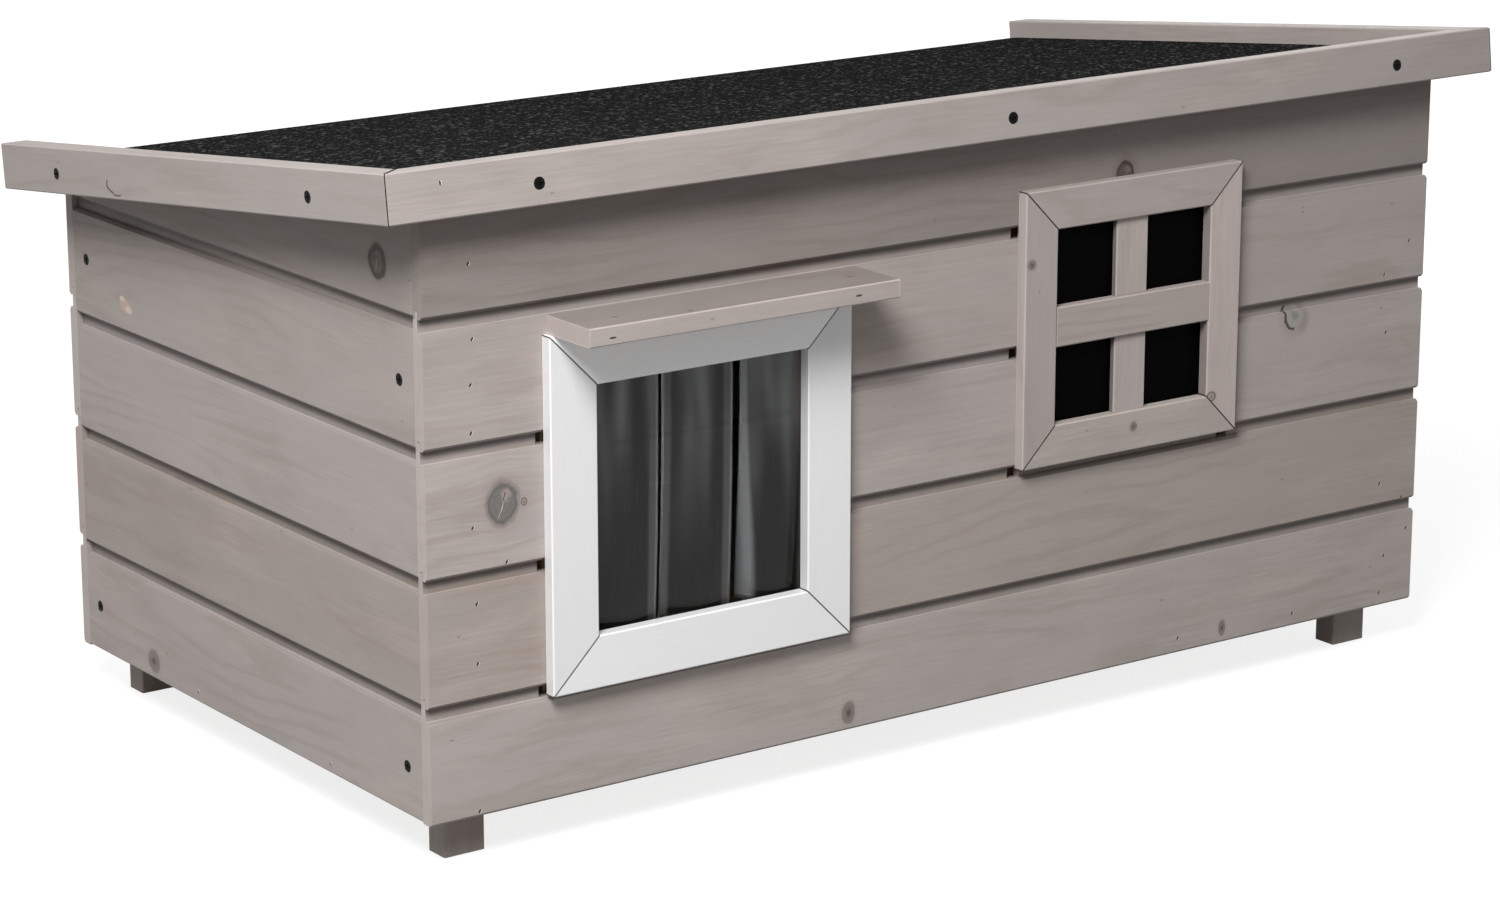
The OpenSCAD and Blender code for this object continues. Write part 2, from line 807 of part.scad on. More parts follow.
module hinge_wall_screws() {
    house_frame() color(steel) wall_hinges() leaf_screws(false);
}

module hinge_roof_screws() {
    roof_frame() color(steel) roof_hinges() leaf_screws(false);
}

front_board_1();
front_board_2();
front_board_3_left();
front_board_3_right();
front_board_4_left();
front_board_4_right();
front_board_5();
rear_board_1();
rear_board_2();
rear_board_3();
rear_board_4();
left_board_1();
left_board_2();
left_board_3();
left_board_4();
left_board_5();
right_board_1();
right_board_2();
right_board_3();
right_board_4();
right_board_5();
front_battens();
rear_battens();
side_battens();
corner_post_front_left();
corner_post_front_right();
corner_post_rear_left();
corner_post_rear_right();
floor_bearers_long();
floor_bearers_short();
floor_panel();
door_frame_top();
door_frame_bottom();
door_frame_left();
door_frame_right();
curtain_rail();
curtain_strip_left();
curtain_strip_middle();
curtain_strip_right();
awning_board();
window_frame_top();
window_frame_bottom();
window_frame_left();
window_frame_right();
window_bar_level();
window_bar_upright();
window_pane();
fascia_front();
fascia_left();
fascia_right();
roof_panel();
roof_felt();
hinge_wall_leaves();
hinge_roof_leaves();
hinge_pins();
wall_screws();
fascia_screws();
hinge_wall_screws();
hinge_roof_screws();
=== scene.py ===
"""Dresses the outdoor cat house: glazed boards, painted door frame, clear curtain strips, felt and fittings."""

import math
from collections import namedtuple

import bmesh
import bpy
import numpy as np
from bpy.props import FloatProperty, FloatVectorProperty, PointerProperty
from mathutils import Matrix, Vector


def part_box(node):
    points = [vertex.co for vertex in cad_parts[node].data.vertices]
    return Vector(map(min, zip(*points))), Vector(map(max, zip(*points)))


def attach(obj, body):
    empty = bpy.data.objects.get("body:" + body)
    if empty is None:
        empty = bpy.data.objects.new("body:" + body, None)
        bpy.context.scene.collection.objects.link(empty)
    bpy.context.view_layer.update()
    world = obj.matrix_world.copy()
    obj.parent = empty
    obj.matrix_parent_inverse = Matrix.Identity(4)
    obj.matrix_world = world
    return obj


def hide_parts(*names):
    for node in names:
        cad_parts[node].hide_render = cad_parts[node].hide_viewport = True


bl_info = {
    "name": "Outdoor cat house",
    "version": (1, 0, 0),
    "blender": (4, 5, 0),
    "location": "View3D > Sidebar > Cat house",
    "description": "Finishes the cat house: wood, paint, clear strips, felt and fittings",
    "category": "Object",
}

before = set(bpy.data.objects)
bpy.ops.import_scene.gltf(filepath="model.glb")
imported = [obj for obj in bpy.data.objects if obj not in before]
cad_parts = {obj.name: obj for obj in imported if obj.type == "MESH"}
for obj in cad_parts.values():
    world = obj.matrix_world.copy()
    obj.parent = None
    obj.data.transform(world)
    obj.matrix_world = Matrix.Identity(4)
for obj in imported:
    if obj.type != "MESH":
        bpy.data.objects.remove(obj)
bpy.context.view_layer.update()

X, Y, Z = Vector((1, 0, 0)), Vector((0, 1, 0)), Vector((0, 0, 1))
ROOF_SLOPE = math.radians(6.9)
SLOPE_S = Vector((0, math.cos(ROOF_SLOPE), -math.sin(ROOF_SLOPE)))
SLOPE_N = Vector((0, math.sin(ROOF_SLOPE), math.cos(ROOF_SLOPE)))
# Corner of the walls that the positions of knots and brads are measured from
WALL_CORNER = Vector((-0.4, -0.212684, 0.0305))
FASCIA_CORNER = WALL_CORNER + Vector((-0.034, -0.0228, 0.3729))
# From the front wall's face to the rear wall's, and from the left wall's to the right wall's
TO_REAR, TO_RIGHT = 0.45 * Y, 0.8 * X
# Above the face of a lapped board: the gap in which its tongue shows, and the rest of the tongue
SHADOW_GAP, TONGUE = 0.008, 0.005
ROWS = 5
# Lower edge and height of the rear wall's rows, in millimetres
REAR_ROWS = ((0, 73.4), (73.4, 78.7), (152.1, 78.7), (230.8, 78.7))
# The roof's tray over its fascias, the fascias' height and thickness and a side fascia's length, in millimetres
TRAY_WIDTH, FASCIA_HEIGHT, FASCIA_THICKNESS, FASCIA_LENGTH = 868, 30, 19, 495.05


def on_front(x, z):
    """A point of the front wall's face, from millimetres right of and above its lower left corner."""
    return WALL_CORNER + Vector((x, 0, z)) / 1000


def on_left(y, z):
    """A point of the left wall's face, from millimetres behind and above its lower front corner."""
    return WALL_CORNER + Vector((0, y, z)) / 1000


def on_fascia(x, s, n):
    """A point of the roof's tray, from millimetres along the front, down the slope and square to it."""
    return FASCIA_CORNER + (X * x + SLOPE_S * s + SLOPE_N * n) / 1000


# How strongly a knot shows its parts: core colour as a share of the board's, how full the core is, how soft its
# edge is, rim and half the rim's width, rings, dark middle, pale patch, crack and halo
KnotStyle = namedtuple("KnotStyle", "core full soft rim width rings middle patch crack halo")
KNOT_STYLES = {name: KnotStyle(*parts) for name, parts in {
    "grey": ((0.42, 0.465, 0.475), 0.95, 0.11, 0.32, 0.3, 0.4, 0.0, 0.6, 1.0, 0.45),
    "dark": ((0.36, 0.335, 0.33), 1.0, 0.1, 0.9, 0.2, 0.6, 0.0, 0.4, 0.5, 0.9),
    "ringed": ((0.42, 0.365, 0.335), 0.95, 0.15, 1.0, 0.4, 0.3, 0.0, 0.2, 1.0, 0.8),
    "pale": ((0.86, 0.95, 0.92), 0.95, 0.06, 2.2, 0.15, 0.15, 0.3, 0.6, 0.0, 0.6),
    "soft": ((0.55, 0.53, 0.53), 0.95, 0.35, 0.25, 0.3, 0.5, 0.85, 0.0, 0.0, 0.25),
    "eye": ((0.72, 0.69, 0.67), 0.8, 0.15, 0.8, 0.25, 0.35, 0.4, 0.5, 0.0, 0.3),
    "bare": ((1.65, 1.5, 1.36), 0.95, 0.12, 0.0, 0.1, 0.0, 0.0, 0.0, 0.0, 0.0),
    "tan": ((1.3, 1.13, 1.0), 0.95, 0.12, 0.0, 0.1, 0.0, 0.0, 0.0, 0.0, 0.0),
    "stain": ((0.7, 0.63, 0.58), 0.75, 0.5, 0.0, 0.1, 0.2, 0.0, 0.0, 0.0, 0.0),
    "arc": ((1.0, 1.0, 1.0), 0.0, 0.1, 1.8, 0.1, 0.0, 0.0, 0.0, 0.0, 0.0),
}.items()}
ALL_ROUND = (0, 0, 1)

# Knots and scars of a board: point on its face, half length and half width in millimetres, style, the side
# where the rim is dark (along, across, and 1 for all round)
KNOTS = {
    "front_board_3_left": [(on_front(53.3, 191.8), 10.4, 12.4, "grey", ALL_ROUND),
                           (on_front(68.3, 190.6), 1.9, 2.2, "eye", ALL_ROUND)],
    "front_board_5": [(on_front(529.6, 333.6), 6.9, 8, "dark", ALL_ROUND)],
    "front_board_3_right": [(on_front(688.8, 216.5), 5.5, 9, "stain", ALL_ROUND),
                            (on_front(681.9, 219.5), 8.2, 9.2, "pale", (-0.9, -0.4, 0))],
    "front_board_1": [(on_front(309.5, 12), 4.5, 6.8, "soft", ALL_ROUND),
                      (on_front(624.8, 10.4), 2.9, 5.2, "soft", ALL_ROUND)],
    "window_frame_left": [(on_front(447, 286), 3.1, 3.1, "soft", ALL_ROUND)],
    "window_frame_bottom": [(on_front(534.9, 166.8), 2.7, 3.1, "soft", ALL_ROUND)],
    "window_frame_right": [(on_front(602, 176.9), 3.1, 3.4, "eye", ALL_ROUND)],
    "left_board_5": [(on_left(48.1, 336.3), 8.1, 8.7, "ringed", ALL_ROUND)],
    "left_board_4": [(on_left(371, 248.9), 6.6, 4.2, "tan", ALL_ROUND),
                     (on_left(374.4, 252.6), 3.6, 1.8, "bare", ALL_ROUND),
                     (on_left(365.8, 246.3), 4.4, 2.6, "bare", ALL_ROUND)],
    "left_board_1": [(on_left(348.8, 12.5), 7.2, 7.2, "soft", ALL_ROUND)],
    "fascia_left": [(on_fascia(0, 332.5, 9.7), 13, 6.7, "arc", (-0.7, -0.7, 0))],
    "right_board_4": [(on_left(120, 262) + TO_RIGHT, 8, 7, "ringed", ALL_ROUND)],
    "right_board_2": [(on_left(330, 118) + TO_RIGHT, 6, 5, "soft", ALL_ROUND)],
    "rear_board_2": [(on_front(240, 120) + TO_REAR, 9, 8, "grey", ALL_ROUND)],
    "rear_board_3": [(on_front(610, 215) + TO_REAR, 7, 6, "soft", ALL_ROUND)],
    "rear_board_4": [(on_front(420, 290) + TO_REAR, 5, 5, "soft", ALL_ROUND)],
}

# Brads: point in millimetres from the wall's corner, as (x, z) on the front and (y, z) on the left
FRONT_BRADS = [
    (32.6, 339.2), (34.4, 294.1), (32.8, 266.8), (32.6, 237.7), (34.6, 133.1), (34.6, 96), (34.2, 3.6),
    (32.6, 180), (56, 155.5), (785.8, 257.9), (763.9, 237.1), (767.3, 196), (766.8, 88.7), (793.9, 52.6),
    (773.6, 35.8), (770.6, 9.4), (689.2, 9.3), (585.8, 10.7), (788.5, 75.8),
]
LEFT_BRADS = [(288.3, 7.8), (118, 6.9)]
# How far a brad's mark stands out of the wood and reaches into it, the turn at which its rim is torn, the tilt of
# its head, and its length over half its width
BRAD_PROUD, BRAD_SUNK, TORN_TURN, BRAD_TILT, BRAD_SLIMNESS = 0.00008, 0.0004, -1.7, math.radians(32), 3.2

# Dents that the nails left in the awning board, in millimetres: (x, y) on its top and (x, z) on its front edge
AWNING_TOP_DENTS = [(114.6, -28.9), (160.1, -41.5), (291, -23.2)]
AWNING_EDGE_DENTS = [(101.3, 294.7), (280.2, 295.9)]
AWNING_EDGE = -46.9 / 1000 * Y
# Half sizes of a dent along and across the board
DENT = (0.0028, 0.0007, 0.0007)
# Side of a frame member's middle line on which its outer edge lies
MITRES = {"top": 1, "left": 1, "bottom": -1, "right": -1}

# Shades of the rows from the bottom, and how much darker some rows are
ROW_TINTS = {1: (1.03, 1.03, 1.03), 2: (0.94, 0.915, 0.89), 3: (1.01, 1.01, 1.02), 4: (0.96, 0.955, 0.95),
             5: (0.93, 0.92, 0.91)}
# Painted shade: the top rows of the front and of the left wall under the fascias, and the rest of the left wall
FRONT_TOP_PAINTED_SHADE, LEFT_TOP_PAINTED_SHADE, LEFT_WALL_PAINTED_SHADE = 0.69, 0.8, 0.86
# Painted shade: the side fascias are darker than the front one
FASCIA_FRONT, FASCIA_SIDES_PAINTED_SHADE = 0.9, 0.84
POST_TINT = (0.84, 0.83, 0.82)

# How much of a board's grain comes from its stains, its streaks and its fibres
STAINS, STREAKS, FIBRES = 0.46, 0.14, 0.4
# Shades of marks in the wood, as shares of its colour
FIGURE_SHADE, SPECK_SHADE, END_SHADE, MITRE_SHADE = (0.8, 0.755, 0.72), 0.35, 1.06, 0.04
JOINT_SHADE, CORNER_SHADE, DENT_SHADE = 0.1, 0.05, 0.12

# Height of the curtain's strips over which their painted reflection bands fade
STRIP_FADE = 0.16

# Lamps: place, target and size in metres
LAMPS = {"key": ((-1.28, -1.19, 1.7), (-0.1, -0.1, 0.2), 0.75),
         "side": ((-1.15, 0.75, 1.35), (-0.4, 0.2, 0.2), 0.8),
         "fill": ((1.7, 0.85, 0.8), (0.1, 0.1, 0.2), 1.4)}
CAMERA_PLACE = (-1.627, -2.25468, 0.9025)
CAMERA_TILT, CAMERA_TURN, CAMERA_LENS, SENSOR_WIDTH = 0.26257, -0.6206, 101.763, 36
# Half the floor's width
FLOOR_REACH = 12.0


class CatHouseSettings(bpy.types.PropertyGroup):
    """Colours, sizes and lamps that can be set in the panel"""
    glaze: FloatVectorProperty(
        name="Glaze", description="Colour of the glazed boards", subtype="COLOR", size=3,
        min=0, max=1, default=(0.395, 0.346, 0.324))
    bare: FloatVectorProperty(
        name="Bare wood", description="Colour of the untreated wood inside", subtype="COLOR", size=3,
        min=0, max=1, default=(0.50, 0.37, 0.23))
    paint: FloatVectorProperty(
        name="Paint", description="Colour of the painted door frame", subtype="COLOR", size=3,
        min=0, max=1, default=(0.76, 0.76, 0.76))
    felt: FloatVectorProperty(
        name="Felt", description="Colour of the roofing felt", subtype="COLOR", size=3,
        min=0, max=1, default=(0.012, 0.0125, 0.0125))
    bow: FloatProperty(
        name="Bow of the strips", description="How far the curtain strips bow inwards at their lower ends",
        unit="LENGTH", min=0, max=0.01, default=0.004)
    brad_length: FloatProperty(
        name="Length of a brad", description="Length of the mark that a brad leaves in a board",
        unit="LENGTH", min=0.001, max=0.005, default=0.003)
    key_power: FloatProperty(
        name="Key lamp", description="Power of the lamp in front on the left", unit="POWER",
        min=0, max=200, default=60)
    side_power: FloatProperty(
        name="Side lamp", description="Power of the lamp behind on the left", unit="POWER",
        min=0, max=100, default=6.3)
    fill_power: FloatProperty(
        name="Fill lamp", description="Power of the lamp behind on the right", unit="POWER",
        min=0, max=100, default=13)
    sky: FloatProperty(
        name="Sky", description="Strength of the light from all round", min=0, max=2, default=0.29)


# Node trees

def feed(tree, n, inputs):
    """Joins the inputs of a node to sockets, or sets them to values."""
    for key, value in inputs.items():
        if isinstance(value, bpy.types.NodeSocket):
            tree.links.new(value, n.inputs[key])
        else:
            n.inputs[key].default_value = value


def socket(tree, kind, out=0, inputs=None, **props):
    """Adds a node, sets its properties and inputs, where a socket is joined and a value is set; its output."""
    n = tree.nodes.new(kind)
    for key, value in props.items():
        setattr(n, key, value)
    feed(tree, n, inputs or {})
    return n.outputs[out]


def maths(tree, operation, *values, clamp=False):
    """One Math node."""
    return socket(tree, "ShaderNodeMath", 0, dict(enumerate(values)), operation=operation, use_clamp=clamp)


def times(tree, a, b):
    """One number times another."""
    return maths(tree, "MULTIPLY", a, b)


def vectors(tree, operation, *values):
    """One Vector Math node that gives a vector."""
    return socket(tree, "ShaderNodeVectorMath", 0, dict(enumerate(values)), operation=operation)


def measure(tree, operation, *values):
    """One Vector Math node that gives a number."""
    return socket(tree, "ShaderNodeVectorMath", "Value", dict(enumerate(values)), operation=operation)


def split(tree, vector):
    """The three parts of a vector."""
    return tuple(socket(tree, "ShaderNodeSeparateXYZ", 0, {0: vector}).node.outputs)


def bump(tree, height, strength, distance):
    """A Bump node over a height."""
    return socket(tree, "ShaderNodeBump", 0, {"Strength": strength, "Distance": distance, "Height": height})


def scaled(tree, vector, factor):
    """A vector times a number."""
    return socket(tree, "ShaderNodeVectorMath", 0, {0: vector, "Scale": factor}, operation="SCALE")


def ramp(tree, value, low, high, to_low=0.0, to_high=1.0, smooth=True):
    """Maps low..high of a value to to_low..to_high, held outside that range."""
    return socket(tree, "ShaderNodeMapRange", 0, {0: value, 1: low, 2: high, 3: to_low, 4: to_high},
                  interpolation_type="SMOOTHSTEP" if smooth else "LINEAR", clamp=True)


def blend_colour(tree, factor, a, b, mode="MIX"):
    """Mixes two colours, each a socket or a triple."""
    n = tree.nodes.new("ShaderNodeMix")
    n.data_type, n.blend_type = "RGBA", mode
    a, b = ((*c, 1) if isinstance(c, tuple) else c for c in (a, b))
    feed(tree, n, {0: factor, 6: a, 7: b})
    return n.outputs[2]


def dimmed(tree, colour, where, share):
    """A colour darkened to a share of itself where a mask is one."""
    return blend_colour(tree, where, colour, blend_colour(tree, 1.0, colour, (share,) * 3, "MULTIPLY"))


def noise(tree, vector, scale, detail=2.0, roughness=0.5, distortion=0.0):
    """Noise over a vector that is scaled by a triple first."""
    v = vectors(tree, "MULTIPLY", vector, scale)
    return socket(tree, "ShaderNodeTexNoise", 0, {
        "Vector": v, "Scale": 1.0, "Detail": detail, "Roughness": roughness, "Distortion": distortion})


def group(name, inputs, outputs, build):
    """A node group with named inputs (name, kind, default) and outputs (name, kind), made once."""
    if name in bpy.data.node_groups:
        return bpy.data.node_groups[name]
    tree = bpy.data.node_groups.new(name, "ShaderNodeTree")
    for label, kind, default in inputs:
        tree.interface.new_socket(label, in_out="INPUT", socket_type=kind).default_value = default
    for label, kind in outputs:
        tree.interface.new_socket(label, in_out="OUTPUT", socket_type=kind)
    start, end = tree.nodes.new("NodeGroupInput"), tree.nodes.new("NodeGroupOutput")
    feed(tree, end, build(tree, {o.name: o for o in start.outputs if o.name}))
    return tree


def use(tree, grouped, inputs):
    """Places a group and gives its outputs by name."""
    n = tree.nodes.new("ShaderNodeGroup")
    n.node_tree = grouped
    feed(tree, n, inputs)
    return n.outputs


FLOAT, VECTOR = "NodeSocketFloat", "NodeSocketVector"


def grain_group():
    """Broad soft stains of the glaze, growth rings that come and go, fine fibres along the grain, and specks."""
    def build(t, i):
        seed = scaled(t, (3.17, 1.73, 0.91), i["Seed"])
        v = vectors(t, "ADD", i["Vector"], vectors(t, "MULTIPLY", seed, (1, 0, 0)))
        shift = socket(t, "ShaderNodeCombineXYZ", 0, {1: i["Bend"]})
        moved = vectors(t, "ADD", vectors(t, "ADD", v, seed), shift)
        wander = vectors(t, "SUBTRACT", socket(t, "ShaderNodeTexNoise", "Color", {
            "Vector": vectors(t, "ADD", vectors(t, "MULTIPLY", v, (2.2, 6, 6)), seed),
            "Scale": 1.0, "Detail": 2.0}), (0.5, 0.5, 0.5))
        ring_v = vectors(t, "ADD", vectors(t, "SUBTRACT", v, i["Pith"]),
                         vectors(t, "MULTIPLY", wander, (0, 0.08, 0.08)))
        ring_v = vectors(t, "MULTIPLY", vectors(t, "ADD", ring_v, shift), (0, 1, 1))
        radius = measure(t, "LENGTH", ring_v)
        ripple = noise(t, moved, (10, 60, 60), 3.0, 0.6)
        phase = maths(t, "ADD", times(t, radius, i["Rings"]), times(t, ripple, 1.8))
        wave = maths(t, "MULTIPLY_ADD", maths(t, "SINE", times(t, phase, 2 * math.pi)), 0.5, 0.5)
        shows = ramp(t, noise(t, moved, (5, 19, 19), 2.0), 0.4, 0.6)
        cells = socket(t, "ShaderNodeTexVoronoi", 0, {
            "Vector": vectors(t, "MULTIPLY", moved, (110, 240, 240)), "Scale": 1.0}).node
        pick = socket(t, "ShaderNodeSeparateColor", 0, {0: cells.outputs["Color"]})
        return {
            "Stain": ramp(t, noise(t, moved, (9, 27, 27), 4.0, 0.58, 0.5), 0.3, 0.7, smooth=False),
            "Hue": ramp(t, noise(t, moved, (6, 15, 15), 3.0, 0.6, 0.3), 0.38, 0.62),
            "Figure": times(t, maths(t, "POWER", wave, 3.5), shows),
            "Streak": ramp(t, noise(t, moved, (4, 170, 170), 3.0, 0.6), 0.3, 0.7, smooth=False),
            "Fibre": ramp(t, noise(t, moved, (24, 480, 480), 3.0, 0.7), 0.3, 0.7, smooth=False),
            "Speck": times(t, ramp(t, cells.outputs["Distance"], 0.2, 0.1), ramp(t, pick, 0.982, 0.99)),
        }
    return group("wood_grain", [("Vector", VECTOR, (0, 0, 0)), ("Seed", FLOAT, 0.0), ("Pith", VECTOR, (0, 0, 0)),
                                ("Bend", FLOAT, 0.0), ("Rings", FLOAT, 260.0)],
                 [(k, FLOAT) for k in ("Stain", "Hue", "Figure", "Streak", "Fibre", "Speck")], build)


def knot_group():
    """A knot: an uneven oval core with rings, a rim that is dark on one side or all round, a dark middle, a pale
    patch, a crack down from the middle and a stained halo, and how far it pushes the grain aside."""
    def build(t, i):
        away = vectors(t, "SUBTRACT", i["Vector"], i["Centre"])
        rough = vectors(t, "SUBTRACT", socket(t, "ShaderNodeTexNoise", "Color", {
            "Vector": vectors(t, "MULTIPLY", i["Vector"], (120, 120, 20)),
            "Scale": 1.0, "Detail": 3.0}), (0.5, 0.5, 0.5))
        bent = vectors(t, "ADD", away, vectors(t, "MULTIPLY", rough, scaled(t, i["Half"], 0.45)))
        oval = vectors(t, "MULTIPLY", vectors(t, "DIVIDE", bent, i["Half"]), (1, 1, 0))
        d = measure(t, "LENGTH", oval)
        along, across, _ = split(t, oval)
        unit = vectors(t, "ADD", vectors(t, "NORMALIZE", oval), (0, 0, 1))
        sided = ramp(t, measure(t, "DOT_PRODUCT", unit, i["Side"]), 0.25, 0.6)
        off = maths(t, "DIVIDE", maths(t, "ABSOLUTE", maths(t, "SUBTRACT", d, 1.0)), i["Width"])
        rim = ramp(t, off, 1.0, 0.3)
        ragged = maths(t, "MULTIPLY_ADD", noise(t, i["Vector"], (420, 420, 60), 2.0), 0.4, -0.2)
        around = socket(t, "ShaderNodeCombineXYZ", 0, {
            0: maths(t, "ARCTAN2", across, along), 1: times(t, d, 0.3)})
        spokes = noise(t, around, (7, 1, 1), 2.0)
        rings = maths(t, "MULTIPLY_ADD", maths(t, "SINE", times(t, d, 15.0)), 0.35, spokes)
        patch = ramp(t, maths(t, "ADD", measure(t, "DISTANCE", oval, (0.25, 0.42, 0)), ragged), 0.44, 0.22)
        lean = maths(t, "ADD", along, times(t, across, -0.4))
        length = times(t, ramp(t, across, -0.75, -0.6), ramp(t, across, 0.6, 0.5))
        crack = times(t, ramp(t, maths(t, "ABSOLUTE", lean), 0.045, 0.015), length)
        near = maths(t, "DIVIDE", 1.0, maths(t, "ADD", 1.0, times(t, d, d)))
        core = ramp(t, maths(t, "DIVIDE", maths(t, "SUBTRACT", d, 1.0), i["Soft"]), 0.7, -1.0)
        return {"Core": core, "Rim": times(t, rim, sided), "Rings": rings,
                "Middle": ramp(t, d, 0.5, 0.2), "Patch": patch, "Crack": crack,
                "Upper": ramp(t, across, 0.05, 0.2), "Halo": ramp(t, d, 2.1, 0.9),
                "Push": times(t, split(t, away)[1], times(t, near, -0.8))}
    inputs = [("Vector", VECTOR, (0, 0, 0)), ("Centre", VECTOR, (0, 0, 0)), ("Half", VECTOR, (0.01, 0.01, 1)),
              ("Side", VECTOR, ALL_ROUND), ("Width", FLOAT, 0.2), ("Soft", FLOAT, 0.1)]
    outputs = ("Core", "Rim", "Rings", "Middle", "Patch", "Crack", "Upper", "Halo", "Push")
    return group("knot", inputs, [(label, FLOAT) for label in outputs], build)


def edge_group():
    """Where two faces of a block meet, the mask of the painted edge highlight: the middle one of the distances to its
    three pairs of faces is small.
    """
    def build(t, i):
        inside = vectors(t, "SUBTRACT", i["Half"], vectors(t, "ABSOLUTE", i["Vector"]))
        x, y, z = split(t, inside)
        low = maths(t, "MINIMUM", x, y)
        high = maths(t, "MAXIMUM", x, y)
        middle = maths(t, "MAXIMUM", low, maths(t, "MINIMUM", high, z))
        patchy = ramp(t, noise(t, i["Vector"], (60, 90, 90), 2.0), 0.3, 0.6, 0.45, 1.0)
        line = ramp(t, maths(t, "DIVIDE", middle, i["Width"]), 1.0, 0.35)
        return {"Line": times(t, line, patchy)}
    return group("edge_line", [("Vector", VECTOR, (0, 0, 0)), ("Half", VECTOR, (0.1, 0.1, 0.1)),
                               ("Width", FLOAT, 0.001)], [("Line", FLOAT)], build)


# Materials

def new_material(name):
    """A node material with a Principled BSDF; its tree and that shader."""
    material = bpy.data.materials.new(name)
    material.use_nodes = True
    tree = material.node_tree
    return material, tree, tree.nodes["Principled BSDF"]


def turned(along, out):
    """The turn whose X runs along the grain and whose Z points out of the face."""
    return Matrix((along, out.cross(along), out)).transposed()


def local_vector(tree, turn, centre):
    """Object coordinates, turned and centred on a piece: along the grain, across it and out of the face."""
    place = socket(tree, "ShaderNodeTexCoord", "Object")
    return socket(tree, "ShaderNodeMapping", 0, {
        "Vector": place, "Location": centre, "Rotation": turn.to_euler()}, vector_type="TEXTURE")


def block(low, high, turn):
    """The middle of a box, and its half sizes along the turned axes."""
    return (low + high) / 2, Vector([abs(c) for c in turn.transposed() @ ((high - low) / 2)])


def dress(node, material):
    """Gives a CAD node its material."""
    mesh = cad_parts[node].data
    mesh.materials.clear()
    mesh.materials.append(material)


def shaded(colour, factor):
    """A colour times a number, or times one number a channel."""
    factor = factor if isinstance(factor, tuple) else (factor,) * 3
    return tuple(c * f for c, f in zip(colour, factor))


def grained(t, base, g, contrast):
    """A wood colour with its stains, streaks, fibres, growth rings and specks."""
    mix = maths(t, "ADD", times(t, g["Stain"], STAINS),
                maths(t, "ADD", times(t, g["Streak"], STREAKS), times(t, g["Fibre"], FIBRES)))
    c = blend_colour(t, mix, shaded(base, 1 - 0.2 * contrast), shaded(base, 1 + 0.18 * contrast))
    cool = shaded(base, (1 - 0.05 * contrast, 1 - 0.015 * contrast, 1.0))
    c = blend_colour(t, times(t, g["Hue"], 0.6), c, cool)
    c = blend_colour(t, times(t, g["Figure"], 0.42 * contrast), c, shaded(base, FIGURE_SHADE))
    return blend_colour(t, times(t, g["Speck"], 0.5 * contrast), c, shaded(base, SPECK_SHADE))


def knotted(t, c, base, k, style):
    """Lays one knot over a wood colour, its parts from the halo up to the crack."""
    layers = ((times(t, k["Halo"], style.halo), (0.8, 0.75, 0.72)),
              (times(t, k["Core"], style.full), style.core),
              (times(t, times(t, k["Core"], k["Rings"]), style.rings), 0.3),
              (times(t, times(t, k["Core"], k["Patch"]), style.patch), (1.0, 0.92, 0.87)),
              (times(t, k["Middle"], style.middle), (0.2, 0.175, 0.165)),
              (maths(t, "MULTIPLY", k["Rim"], style.rim, clamp=True), (0.19, 0.175, 0.16)))
    for factor, shade in layers:
        c = blend_colour(t, factor, c, shaded(base, shade))
    # The crack is near black, with a painted highlight on the knot's upper side
    crack_dark_and_glint = blend_colour(t, k["Upper"], shaded(base, (1.35, 1.25, 1.12)), shaded(base, 0.06))
    return blend_colour(t, times(t, k["Crack"], style.crack), c, crack_dark_and_glint)


def shaped(t, c, base, v, half, along, across, chamfer_shade, recess_shade, mitre, corner):
    """A wood colour with the marks that follow the piece's shape: paler ends, dark mitre faces, painted shade on its
    chamfers and on the bare tongue behind its face, darkest next to the board above, and the lines where it meets the
    next piece in a mitre or at a corner."""
    normal = socket(t, "ShaderNodeTexCoord", "Normal")
    facing = maths(t, "ABSOLUTE", measure(t, "DOT_PRODUCT", normal, along))
    sloped = maths(t, "ABSOLUTE", measure(t, "DOT_PRODUCT", normal, across))
    x, y, z = split(t, v)
    c = blend_colour(t, times(t, ramp(t, facing, 0.85, 0.97), 0.4), c, shaded(base, END_SHADE))
    on_mitre = times(t, ramp(t, facing, 0.5, 0.6), ramp(t, facing, 0.9, 0.8))
    c = blend_colour(t, on_mitre, c, shaded(base, MITRE_SHADE))
    # Painted shade on the chamfers, which face the light at a slant
    if chamfer_shade < 1:
        c = dimmed(t, c, times(t, ramp(t, sloped, 0.45, 0.6), ramp(t, sloped, 0.95, 0.8)), chamfer_shade)
    # Painted shade: the board above's shadow on the bare tongue in the gap, darker towards that board
    if recess_shade:
        deep = ramp(t, z, half.z - 0.0035, half.z - 0.0042)
        above = ramp(t, y, half.y + 0.0015, half.y + 0.0055, 0.25, 1.0)
        c = dimmed(t, c, times(t, deep, times(t, above, ramp(t, facing, 0.9, 0.5))), recess_shade)
    if mitre:
        inset = maths(t, "SUBTRACT", half.y, times(t, y, mitre))
        reach = maths(t, "SUBTRACT", maths(t, "SUBTRACT", half.x, maths(t, "ABSOLUTE", x)), inset)
        c = blend_colour(t, ramp(t, reach, 0.0007, 0.0004), c, shaded(base, JOINT_SHADE))
    if corner is not None:
        end = times(t, x, corner) if corner else maths(t, "ABSOLUTE", x)
        reach = maths(t, "SUBTRACT", maths(t, "SUBTRACT", half.x, end), maths(t, "SUBTRACT", half.z, z))
        joint = times(t, ramp(t, reach, 0.0021, 0.0016), ramp(t, sloped, 0.7, 0.9))
        c = blend_colour(t, joint, c, shaded(base, CORNER_SHADE))
    return c


